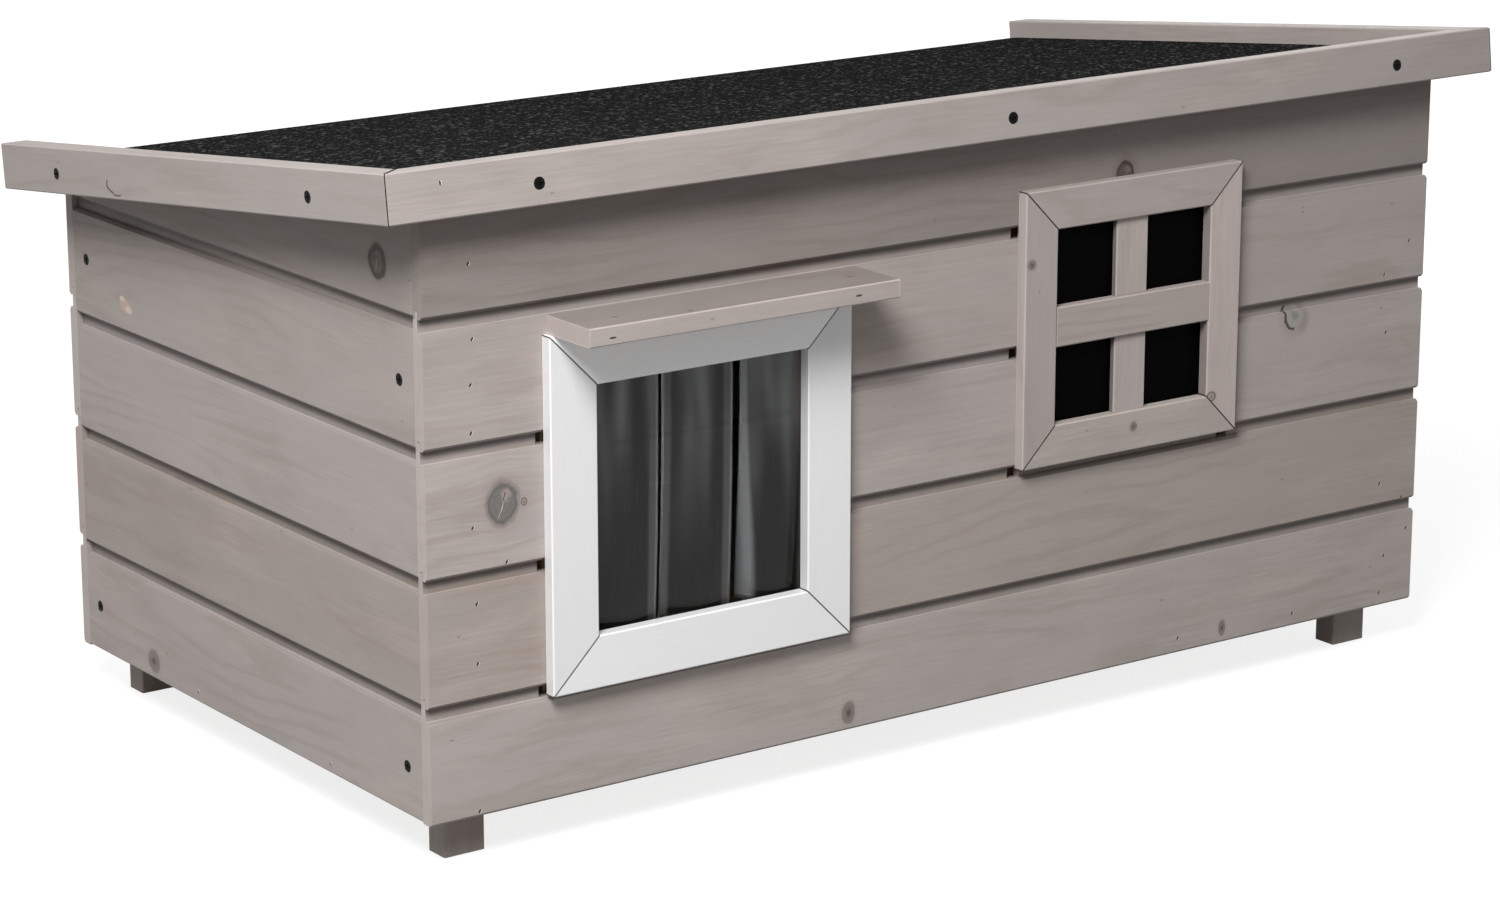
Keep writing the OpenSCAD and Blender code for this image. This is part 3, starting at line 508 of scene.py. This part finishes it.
def wood(node, colour, along, out, seed, tint=(1, 1, 1), contrast=1.0, edge=0.0009, edge_highlight=0.1,
         centre=None, half=None, rings=110.0, roughness=0.6, gloss=0.22, coat=0.0,
         chamfer_shade=1.0, recess_shade=0.0, mitre=0, corner=None, face_shade=None, dents=()):
    """Wood of one piece, with its own grain, knots, dents and a painted highlight along its edges. Painted shade
    darkens its chamfers, the bare tongue behind its face and the faces that point one given way, each to a given share.
    A corner is mitred at the end that its sign gives, or at both ends for zero."""
    rng = np.random.default_rng(seed)
    low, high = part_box(node)
    turn = turned(along, out)
    if centre is None:
        centre, half = block(low, high, turn)
    material, t, shader = new_material(node + "_finish")
    v = local_vector(t, turn, centre)
    bend, knots = 0.0, []
    for point, half_x, half_y, name, side in KNOTS.get(node, []):
        at = turn.transposed() @ (point - centre)
        style = KNOT_STYLES[name]
        k = use(t, knot_group(), {"Vector": v, "Centre": (at.x, at.y, 0), "Half": (half_x / 1000, half_y / 1000, 1),
                                  "Side": side, "Soft": style.soft, "Width": style.width})
        bend = k["Push"] if not knots else maths(t, "ADD", bend, k["Push"])
        knots.append((k, style))
    pith = (0, float(rng.uniform(-0.03, 0.03)), float(rng.uniform(-0.05, -0.012)))
    g = use(t, grain_group(), {"Vector": v, "Seed": float(rng.uniform(1, 40)), "Pith": pith, "Bend": bend,
                               "Rings": rings * float(rng.uniform(0.8, 1.2))})
    base = shaded(colour, tint)
    c = grained(t, base, g, contrast)
    for k, style in knots:
        c = knotted(t, c, base, k, style)
    # Painted highlight: a pale line along the piece's edges
    line = use(t, edge_group(), {"Vector": v, "Half": half, "Width": edge})["Line"]
    c = blend_colour(t, times(t, line, 0.8), c, shaded(base, 1 + edge_highlight))
    c = shaped(t, c, base, v, half, along, out.cross(along), chamfer_shade, recess_shade, mitre, corner)
    # Painted shade on the faces that point the given way
    if face_shade:
        toward = measure(t, "DOT_PRODUCT", socket(t, "ShaderNodeTexCoord", "Normal"), face_shade[0])
        c = dimmed(t, c, ramp(t, toward, 0.6, 0.9), face_shade[1])
    for point in dents:
        at = turn.transposed() @ (point - centre)
        away = vectors(t, "MULTIPLY", vectors(t, "SUBTRACT", v, tuple(at)), tuple(1 / size for size in DENT))
        c = blend_colour(t, ramp(t, measure(t, "LENGTH", away), 1.1, 0.7), c, shaded(base, DENT_SHADE))
    height = maths(t, "ADD", times(t, g["Fibre"], 0.6), times(t, g["Figure"], -0.25))
    feed(t, shader, {"Base Color": c, "Roughness": ramp(t, g["Fibre"], 0, 1, roughness - 0.07, roughness + 0.07),
                     "Normal": bump(t, height, 0.3, 0.00025), "Specular IOR Level": gloss, "Coat Weight": coat})
    dress(node, material)


def board(node, along, out, seed, tint, lapped):
    """A wall board's wood; the lapped ones show a bare tongue above their face, so the face is shorter."""
    low, high = (v.copy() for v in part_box(node))
    if lapped:
        high.z -= SHADOW_GAP + TONGUE
    centre, half = block(low, high, turned(along, out))
    # Painted shade on its chamfers and on the bare tongue under the board above, and a painted highlight along its
    # edges
    wood(node, settings().glaze, along, out, seed, tint, edge=0.0008, edge_highlight=0.08, centre=centre,
         half=half, chamfer_shade=0.72, recess_shade=0.42)


def settings():
    """The values that can be set in the panel."""
    return bpy.context.scene.cat_house


# Meshes

def mesh_object(name, verts, faces, materials, slots=None):
    """A smooth object from arrays of points and faces, with its materials and one material index a face."""
    mesh = bpy.data.meshes.new(name)
    mesh.from_pydata(verts.reshape(-1, 3).tolist(), [], faces.tolist())
    for m in materials:
        mesh.materials.append(m)
    if slots is not None:
        mesh.polygons.foreach_set("material_index", slots.astype(np.int32))
    mesh.polygons.foreach_set("use_smooth", np.full(len(faces), True))
    mesh.update()
    piece = bpy.data.objects.new(name, mesh)
    bpy.context.scene.collection.objects.link(piece)
    return piece


def grid_faces(rows, columns, wrap=False):
    """Quads of a grid of rows by columns of points, the last column joined to the first where it wraps."""
    i, j = np.meshgrid(np.arange(rows - 1), np.arange(columns if wrap else columns - 1), indexing="ij")
    k = (j + 1) % columns
    return np.stack([i * columns + j, i * columns + k, (i + 1) * columns + k, (i + 1) * columns + j], -1).reshape(-1, 4)


def spots(name, body, materials, points, outs, ups, half_length, half_width):
    """Small oval heads. Each is one profile carried round an oval: a shallow dish inside a raised rim, closed
    behind in the wood. A point is centre + length * cos(turn) * up + width * sin(turn) * across + height * out."""
    radius = np.array([0.0, 0.5, 0.66, 0.85, 1.0, 1.0, 0.0])
    depth = -BRAD_SUNK / BRAD_PROUD
    height = np.array([0.3, 0.3, 0.6, 1.0, 0.0, depth, depth]) * BRAD_PROUD
    turn = np.linspace(0, 2 * math.pi, 16, endpoint=False)
    points, outs, ups = (np.array(a, float).reshape(-1, 1, 1, 3) for a in (points, outs, ups))
    across = np.cross(outs, ups)
    r, h = radius[None, :, None, None], height[None, :, None, None]
    c, s = np.cos(turn)[None, None, :, None], np.sin(turn)[None, None, :, None]
    verts = points + half_length * r * c * ups + half_width * r * s * across + h * outs
    one = grid_faces(len(radius), len(turn), wrap=True)
    count = len(radius) * len(turn)
    faces = (one[None] + np.arange(len(points))[:, None, None] * count).reshape(-1, 4)
    ring = np.repeat(np.arange(len(radius) - 1), len(turn))
    torn = (ring >= 1) & (np.tile(np.cos(turn - TORN_TURN), len(radius) - 1) > 0.25)
    slots = np.tile(np.where(torn, 1, 0), len(points))
    piece = mesh_object(name, verts, faces, materials, slots)
    merge_poles(piece)
    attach(piece, body)


def merge_poles(piece):
    """Merges the doubled points at the poles and turns all faces outwards."""
    bm = bmesh.new()
    bm.from_mesh(piece.data)
    bmesh.ops.remove_doubles(bm, verts=bm.verts, dist=1e-7)
    bmesh.ops.recalc_face_normals(bm, faces=bm.faces)
    bm.to_mesh(piece.data)
    bm.free()


class CATHOUSE_OT_boards(bpy.types.Operator):
    """Finishes the boards of the four walls"""
    bl_idname = "cathouse.boards"
    bl_label = "Wall boards"

    def execute(self, context):
        # Painted shade: the top rows of the front and of the left wall are darker under the fascias, and the left wall
        # is darker than the right
        for row in range(1, ROWS + 1):
            top = row == ROWS
            tint = ROW_TINTS[row]
            for name in ("front_board_%d" % row, "front_board_%d_left" % row, "front_board_%d_right" % row):
                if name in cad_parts:
                    seed = 10 + row + 20 * name.endswith("right")
                    board(name, X, -Y, seed, shaded(tint, FRONT_TOP_PAINTED_SHADE if top else 1.0), not top)
            board("left_board_%d" % row, -Y, -X, 50 + row, shaded(tint, LEFT_TOP_PAINTED_SHADE if top else LEFT_WALL_PAINTED_SHADE), not top)
            board("right_board_%d" % row, Y, X, 60 + row, ROW_TINTS[ROWS + 1 - row], not top)
        for row in range(1, ROWS):
            board("rear_board_%d" % row, -X, Y, 70 + row, ROW_TINTS[row], row < ROWS - 1)
        return {"FINISHED"}


class CATHOUSE_OT_inside(bpy.types.Operator):
    """Finishes the posts, battens, bearers, floor panel and curtain rail"""
    bl_idname = "cathouse.inside"
    bl_label = "Posts, battens and floor"

    def execute(self, context):
        s = settings()
        for n, name in enumerate(("front_left", "front_right", "rear_left", "rear_right")):
            wood("corner_post_" + name, s.glaze, Z, -Y if name.startswith("front") else Y, 80 + n, POST_TINT)
        # The front battens' faces that lie against the boards are near black: painted shade that keeps the notches in
        # the tongues dark
        for n, name in enumerate(("front_battens", "rear_battens", "side_battens")):
            wood(name, s.bare, Z, -Y, 90 + n, edge=0.0001, face_shade=(-Y, 0.05) if name == "front_battens" else None)
        wood("floor_bearers_long", s.bare, X, -Y, 94, edge=0.0001)
        wood("floor_bearers_short", s.bare, Y, X, 95, edge=0.0001)
        wood("floor_panel", s.bare, X, Z, 96, contrast=1.3, rings=60.0)
        wood("curtain_rail", s.bare, X, -Y, 97)
        return {"FINISHED"}


class CATHOUSE_OT_door(bpy.types.Operator):
    """Paints the door frame"""
    bl_idname = "cathouse.door"
    bl_label = "Door frame"

    def execute(self, context):
        # The top member's paint is much lighter, painted light that lifts the awning's shadow off it; the right
        # member's faces that point left get painted shade
        members = (("top", X, 1.3), ("bottom", X, 1.03), ("left", Z, 0.955), ("right", Z, 0.99))
        for n, (side, along, tint) in enumerate(members):
            wood("door_frame_" + side, settings().paint, along, -Y, 100 + n, (tint,) * 3, contrast=0.08,
                 edge_highlight=0.08, roughness=0.42, gloss=0.6, coat=0.5, mitre=MITRES[side],
                 face_shade=(-X, 0.85) if side == "right" else None)
        return {"FINISHED"}


def clear_material(name, left, right, low, fold_sheen_width):
    """Clear soft sheet between two edges, with fine scratches, faintly pale and in its gloss. Painted highlights run
    along its edges, and painted reflections lie where its left edge folds in and in broad bands that fade downwards."""
    clear, sheen_and_scratch_colour = (0.075, 0.07, 0.066), (0.92, 0.95, 0.97)
    material, t, shader = new_material(name)
    v = socket(t, "ShaderNodeTexCoord", "Object")
    x, _, z = split(t, v)
    # Painted reflections: broad pale bands that fade towards the bottom
    sheen_bands = ramp(t, noise(t, v, (38, 12, 5), 1.5, 0.5, 0.3), 0.4, 0.68)
    sheen_bands = times(t, sheen_bands, ramp(t, z, low + 0.02, low + STRIP_FADE, 0.0, 0.78))
    # Painted highlights: pale lines along both edges
    rim = maths(t, "MINIMUM", maths(t, "SUBTRACT", x, left), maths(t, "SUBTRACT", right, x))
    edge_glints = maths(t, "MAXIMUM", ramp(t, rim, 0.0022, 0.0006), times(t, ramp(t, rim, 0.008, 0.005), 0.35))
    scuff = noise(t, v, (45, 45, 30), 4.0, 0.7)
    scratch = ramp(t, noise(t, v, (900, 900, 40), 1.0), 0.66, 0.72)
    sheen_and_scratches = maths(t, "MAXIMUM", maths(t, "MAXIMUM", sheen_bands, edge_glints), times(t, scratch, 0.12))
    # Painted reflection: a pale band along the left edge where it folds in, wider at the bottom
    if fold_sheen_width:
        width = ramp(t, z, low, low + STRIP_FADE, 1.1 * fold_sheen_width, 0.45 * fold_sheen_width)
        inward = maths(t, "DIVIDE", maths(t, "SUBTRACT", x, left), width)
        sheen_and_scratches = maths(t, "MAXIMUM", sheen_and_scratches, ramp(t, inward, 1.0, 0.7, 0.0, 0.8))
    height = maths(t, "ADD", times(t, scratch, 0.2), times(t, noise(t, v, (30, 30, 9), 1.0), 3.0))
    feed(t, shader, {"Base Color": blend_colour(t, sheen_and_scratches, clear, sheen_and_scratch_colour),
                     "Roughness": ramp(t, scuff, 0.45, 0.75, 0.04, 0.12),
                     "Normal": bump(t, height, 0.25, 0.0003), "Transmission Weight": 0.9, "IOR": 1.3})
    return material


class CATHOUSE_OT_curtain(bpy.types.Operator):
    """Makes the three clear strips of the curtain, slightly bowed"""
    bl_idname = "cathouse.curtain"
    bl_label = "Curtain strips"

    def execute(self, context):
        for side, curl, fold_sheen_width in (("left", 0.0, 0.0), ("middle", 0.0015, 0.0), ("right", 0.007, 0.015)):
            low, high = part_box("curtain_strip_" + side)
            clear = clear_material("clear_strip_" + side, low.x, high.x, low.z, fold_sheen_width)
            piece = self.strip("curtain_strip_" + side + "_bowed", low, high, curl, clear)
            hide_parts("curtain_strip_" + side)
            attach(piece, "curtain_" + side)
        return {"FINISHED"}

    def strip(self, name, low, high, curl, material):
        """One closed sheet: a ring of points round its section is carried down it. Its middle line is
        y = middle + bow * drop^1.6 * (1 + wave of x and drop) + 1.6 * curl * drop * edge^2, and its left edge draws
        in by curl * drop * edge^2, with edge = 1 at the left edge and 0 from two fifths of the width, so the
        sheet stays flat where the rail clamps it."""
        across, down = 33, 41
        u = np.linspace(0, 1, across)
        u = np.r_[u, u[::-1]][None, :]
        side = np.r_[np.full(across, -0.5), np.full(across, 0.5)][None, :] * (high.y - low.y)
        drop = np.linspace(0, 1, down)[:, None]
        edge = np.clip(1 - u / 0.4, 0, 1) ** 2
        x = low.x + (high.x - low.x) * u + curl * drop * edge
        z = high.z - (high.z - low.z) * drop + 0 * u
        wave = 0.35 * np.sin(115 * x + 2.2 * drop)
        y = (low.y + high.y) / 2 + settings().bow * drop ** 1.6 * (1 + wave) + 1.6 * curl * drop * edge + side
        faces = grid_faces(down, 2 * across, wrap=True)
        i = np.arange(across - 1)
        top = np.stack([i, i + 1, 2 * across - 2 - i, 2 * across - 1 - i], -1)
        bottom = top[:, ::-1] + (down - 1) * 2 * across
        piece = mesh_object(name, np.stack([x, y, z], -1), np.concatenate([faces, top, bottom]), [material])
        merge_poles(piece)
        return piece


class CATHOUSE_OT_awning(bpy.types.Operator):
    """Finishes the awning board and the marks of its nails"""
    bl_idname = "cathouse.awning"
    bl_label = "Awning board"

    def execute(self, context):
        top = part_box("awning_board")[1].z
        on_top = [on_front(x, 0) + y / 1000 * Y for x, y in AWNING_TOP_DENTS]
        dents = [Vector((p.x, p.y, top)) for p in on_top] + [on_front(x, z) + AWNING_EDGE for x, z in AWNING_EDGE_DENTS]
        # Its top faces are darker, painted shade, and its edges carry a strong painted highlight
        wood("awning_board", settings().glaze, X, Z, 111, (1.04, 1.02, 1.01), edge=0.0011, edge_highlight=0.3,
             face_shade=(Z, 0.61), dents=dents)
        return {"FINISHED"}


class CATHOUSE_OT_window(bpy.types.Operator):
    """Finishes the window frame, its bars and its pane"""
    bl_idname = "cathouse.window"
    bl_label = "Window"

    def execute(self, context):
        s = settings()
        # The right member and the upright bar get painted shade on their faces that point left
        for n, (side, along, tint) in enumerate((
                ("top", X, (0.98, 0.97, 0.98)), ("bottom", X, (1.04, 1.04, 1.02)),
                ("left", Z, (0.98, 0.98, 0.99)), ("right", Z, (1.2, 1.17, 1.18)))):
            wood("window_frame_" + side, s.glaze, along, -Y, 120 + n, tint, mitre=MITRES[side],
                 face_shade=(-X, 0.5) if side == "right" else None)
        wood("window_bar_level", s.glaze, X, -Y, 126, (0.98, 0.96, 0.95))
        wood("window_bar_upright", s.glaze, Z, -Y, 127, (1.1, 1.09, 1.1), face_shade=(-X, 0.4))
        # The pane is opaque and nearly black with almost no gloss: a smoked pane whose darkness also stands in as
        # painted shade for the dark inside
        material, t, shader = new_material("smoked_pane")
        haze = noise(t, socket(t, "ShaderNodeTexCoord", "Object"), (40, 40, 40), 3.0)
        feed(t, shader, {"Base Color": blend_colour(t, haze, (0.0012, 0.0010, 0.0010), (0.0018, 0.0016, 0.0016)),
                         "Roughness": ramp(t, haze, 0.3, 0.7, 0.3, 0.5), "Specular IOR Level": 0.01})
        dress("window_pane", material)
        return {"FINISHED"}


def felt_material():
    """Mineral felt: granules of two sizes over black, with paler ones strewn among them."""
    material, t, shader = new_material("mineral_felt")
    v = socket(t, "ShaderNodeTexCoord", "Object")
    c, grains = shaded(settings().felt, 1.15), []
    for scale, share, pale in ((290.0, 0.78, 0.135), (620.0, 0.8, 0.105)):
        cells = socket(t, "ShaderNodeTexVoronoi", 0, {"Vector": v, "Scale": scale}).node
        grey = socket(t, "ShaderNodeSeparateColor", 0, {0: cells.outputs["Color"]})
        grain = ramp(t, cells.outputs["Distance"], 0.6, 0.3)
        strewn = ramp(t, grey, share, 0.95, smooth=False)
        c = blend_colour(t, times(t, grain, strewn), c, (pale, pale, pale))
        grains.append(grain)
    fine = noise(t, v, (1500, 1500, 1500), 2.0)
    height = maths(t, "ADD", times(t, fine, 0.5), maths(t, "ADD", *grains))
    feed(t, shader, {"Base Color": c, "Roughness": ramp(t, grey, 0, 1, 0.9, 1.0),
                     "Normal": bump(t, height, 0.8, 0.0006), "Specular IOR Level": 0.0})
    return material


class CATHOUSE_OT_roof(bpy.types.Operator):
    """Finishes the fascia, the roof panel and the felt"""
    bl_idname = "cathouse.roof"
    bl_label = "Roof"

    def execute(self, context):
        s = settings()
        thick, high, long = FASCIA_THICKNESS / 2, FASCIA_HEIGHT / 2, FASCIA_LENGTH / 2
        for n, (side, along, out, x, down, reach, corner) in enumerate((
                ("front", X, -SLOPE_S, TRAY_WIDTH / 2, thick, TRAY_WIDTH / 2, 0),
                ("left", -SLOPE_S, -X, thick, long, long, 1),
                ("right", SLOPE_S, X, TRAY_WIDTH - thick, long, long, -1))):
            # The side fascias are darker than the front one: painted shade
            shade = FASCIA_FRONT if side == "front" else FASCIA_SIDES_PAINTED_SHADE
            wood("fascia_" + side, s.glaze, along, out, 130 + n, (shade,) * 3, edge=0.001, rings=120.0,
                 centre=on_fascia(x, down, high), half=Vector((reach, high, thick)) / 1000, corner=corner)
        wood("roof_panel", s.bare, X, SLOPE_N, 135, contrast=1.3, rings=60.0, edge=0.0001)
        dress("roof_felt", felt_material())
        return {"FINISHED"}


def metal_material(name, colour, metallic, roughness, gloss):
    """Metal or painted metal with fine wear and uneven roughness."""
    material, t, shader = new_material(name)
    cloud = noise(t, socket(t, "ShaderNodeTexCoord", "Object"), (260, 260, 260), 4.0, 0.6)
    dark, light = (tuple(min(1.0, c) for c in shaded(colour, factor)) for factor in (0.8, 1.2))
    feed(t, shader, {"Base Color": blend_colour(t, cloud, dark, light),
                     "Roughness": ramp(t, cloud, 0.3, 0.7, roughness - 0.08, roughness + 0.1),
                     "Normal": bump(t, cloud, 0.2, 0.0001), "Metallic": metallic, "Specular IOR Level": gloss})
    return material


class CATHOUSE_OT_fittings(bpy.types.Operator):
    """Finishes the hinges and the screws"""
    bl_idname = "cathouse.fittings"
    bl_label = "Hinges and screws"

    def execute(self, context):
        zinc = metal_material("zinc_plate", (0.18, 0.18, 0.185), 1.0, 0.5, 0.5)
        black = metal_material("black_screw", (0.0022, 0.0022, 0.0024), 0.0, 0.6, 0.12)
        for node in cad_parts:
            if node.startswith("hinge"):
                dress(node, zinc)
        dress("wall_screws", black)
        dress("fascia_screws", black)
        return {"FINISHED"}


class CATHOUSE_OT_brads(bpy.types.Operator):
    """Makes the marks of the brads that hold the boards"""
    bl_idname = "cathouse.brads"
    bl_label = "Brads"

    def execute(self, context):
        s = settings()
        crown = metal_material("brad_crown", (0.02, 0.017, 0.015), 0.0, 0.6, 0.1)
        torn = metal_material("torn_fibre", (0.72, 0.64, 0.56), 0.0, 0.75, 0.2)
        half_length, half_width = s.brad_length / 2, s.brad_length / BRAD_SLIMNESS
        points = [on_front(x, z) for x, z in FRONT_BRADS] + [on_left(y, z) for y, z in LEFT_BRADS]
        outs = [-Y] * len(FRONT_BRADS) + [-X] * len(LEFT_BRADS)
        upwards = Z * math.cos(BRAD_TILT)
        ups = [X * math.sin(BRAD_TILT) + upwards] * len(FRONT_BRADS)
        ups += [Y * math.sin(BRAD_TILT) + upwards] * len(LEFT_BRADS)
        for low, height in REAR_ROWS:
            for x in (46, 400, 754):
                for share in (0.25, 0.7):
                    points.append(on_front(x, low + share * height) + TO_REAR)
                    outs.append(Y)
                    ups.append(Z)
        spots("fascia_brad", "roof", [crown, torn], [on_fascia(36.5, 0, 21)], [-SLOPE_S], [SLOPE_N],
              half_length, half_width)
        spots("brads", "house", [crown, torn], points, outs, ups, half_length, half_width)
        return {"FINISHED"}


def seen_directly(t):
    """One for rays from the camera and off or through gloss and glass, else zero."""
    path = t.nodes.new("ShaderNodeLightPath")
    return maths(t, "MAXIMUM", maths(t, "MAXIMUM", path.outputs["Is Camera Ray"], path.outputs["Is Glossy Ray"]),
                 path.outputs["Is Transmission Ray"])


class CATHOUSE_OT_stage(bpy.types.Operator):
    """Makes the floor, the soft light and the camera"""
    bl_idname = "cathouse.stage"
    bl_label = "Floor, light and camera"

    def execute(self, context):
        s = settings()
        self.floor()
        self.sky(s.sky)
        for name, (place, target, size) in LAMPS.items():
            self.lamp(name, place, target, size, getattr(s, name + "_power"))
        camera = bpy.data.objects.new("camera", bpy.data.cameras.new("camera"))
        camera.location = CAMERA_PLACE
        camera.rotation_euler = (math.pi / 2 - CAMERA_TILT, 0, CAMERA_TURN)
        camera.data.lens, camera.data.sensor_width = CAMERA_LENS, SENSOR_WIDTH
        context.scene.collection.objects.link(camera)
        context.scene.camera = camera
        context.scene.view_settings.view_transform = "Standard"
        return {"FINISHED"}

    def floor(self):
        """A wide pale sheet that the camera, gloss and glass see near white; its own light grows with the
        distance from the object, where the lamps fade, and the object's shadow stays on it."""
        size = FLOOR_REACH
        verts = np.array([(-size, -size, 0), (size, -size, 0), (size, size, 0), (-size, size, 0)], float)
        material, t, shader = new_material("pale_floor")
        place = socket(t, "ShaderNodeTexCoord", "Object")
        far = ramp(t, measure(t, "LENGTH", place), 0.6, 2.6, 0.82, 1.0)
        feed(t, shader, {"Base Color": blend_colour(t, noise(t, place, (3, 3, 3)), (0.26,) * 3, (0.28,) * 3),
                         "Roughness": 0.9, "Specular IOR Level": 0.0, "Emission Color": (1, 1, 1, 1),
                         "Emission Strength": times(t, seen_directly(t), far)})
        floor = mesh_object("floor", verts, np.array([[0, 1, 2, 3]]), [material])

    def sky(self, strength):
        """Soft light from all round; the camera, gloss and glass see it white."""
        world = bpy.data.worlds.new("sky")
        bpy.context.scene.world = world
        world.use_nodes = True
        t = world.node_tree
        light = t.nodes["Background"]
        light.inputs["Color"].default_value = (1, 1, 1, 1)
        t.links.new(ramp(t, seen_directly(t), 0, 1, strength, 1.0, smooth=False), light.inputs["Strength"])

    def lamp(self, name, place, target, size, power):
        """A square lamp that points at a target."""
        data = bpy.data.lights.new(name, "AREA")
        data.shape, data.size, data.energy = "SQUARE", size, power
        lamp = bpy.data.objects.new(name, data)
        lamp.location = place
        lamp.visible_camera = False
        lamp.rotation_euler = (Vector(target) - Vector(place)).to_track_quat("-Z", "Y").to_euler()
        bpy.context.scene.collection.objects.link(lamp)


MAKERS = (CATHOUSE_OT_stage, CATHOUSE_OT_boards, CATHOUSE_OT_inside, CATHOUSE_OT_door, CATHOUSE_OT_curtain,
          CATHOUSE_OT_awning, CATHOUSE_OT_window, CATHOUSE_OT_roof, CATHOUSE_OT_fittings, CATHOUSE_OT_brads)


class CATHOUSE_PT_panel(bpy.types.Panel):
    """Lists the cat house's settings and its makers"""
    bl_idname = "CATHOUSE_PT_panel"
    bl_label = "Cat house"
    bl_space_type = "VIEW_3D"
    bl_region_type = "UI"
    bl_category = "Cat house"

    def draw(self, context):
        for name in CatHouseSettings.__annotations__:
            self.layout.prop(context.scene.cat_house, name)
        for maker in MAKERS:
            self.layout.operator(maker.bl_idname)


def register():
    """Registers the settings, the operators and the panel."""
    for made in (CatHouseSettings, *MAKERS, CATHOUSE_PT_panel):
        bpy.utils.register_class(made)
    bpy.types.Scene.cat_house = PointerProperty(type=CatHouseSettings)


def unregister():
    """Takes them out again, in reverse."""
    del bpy.types.Scene.cat_house
    for made in (CATHOUSE_PT_panel, *reversed(MAKERS), CatHouseSettings):
        bpy.utils.unregister_class(made)


def main():
    """Runs the operators in order."""
    register()
    for maker in MAKERS:
        area, name = maker.bl_idname.split(".")
        getattr(getattr(bpy.ops, area), name)()


if __name__ == "__main__":
    main()
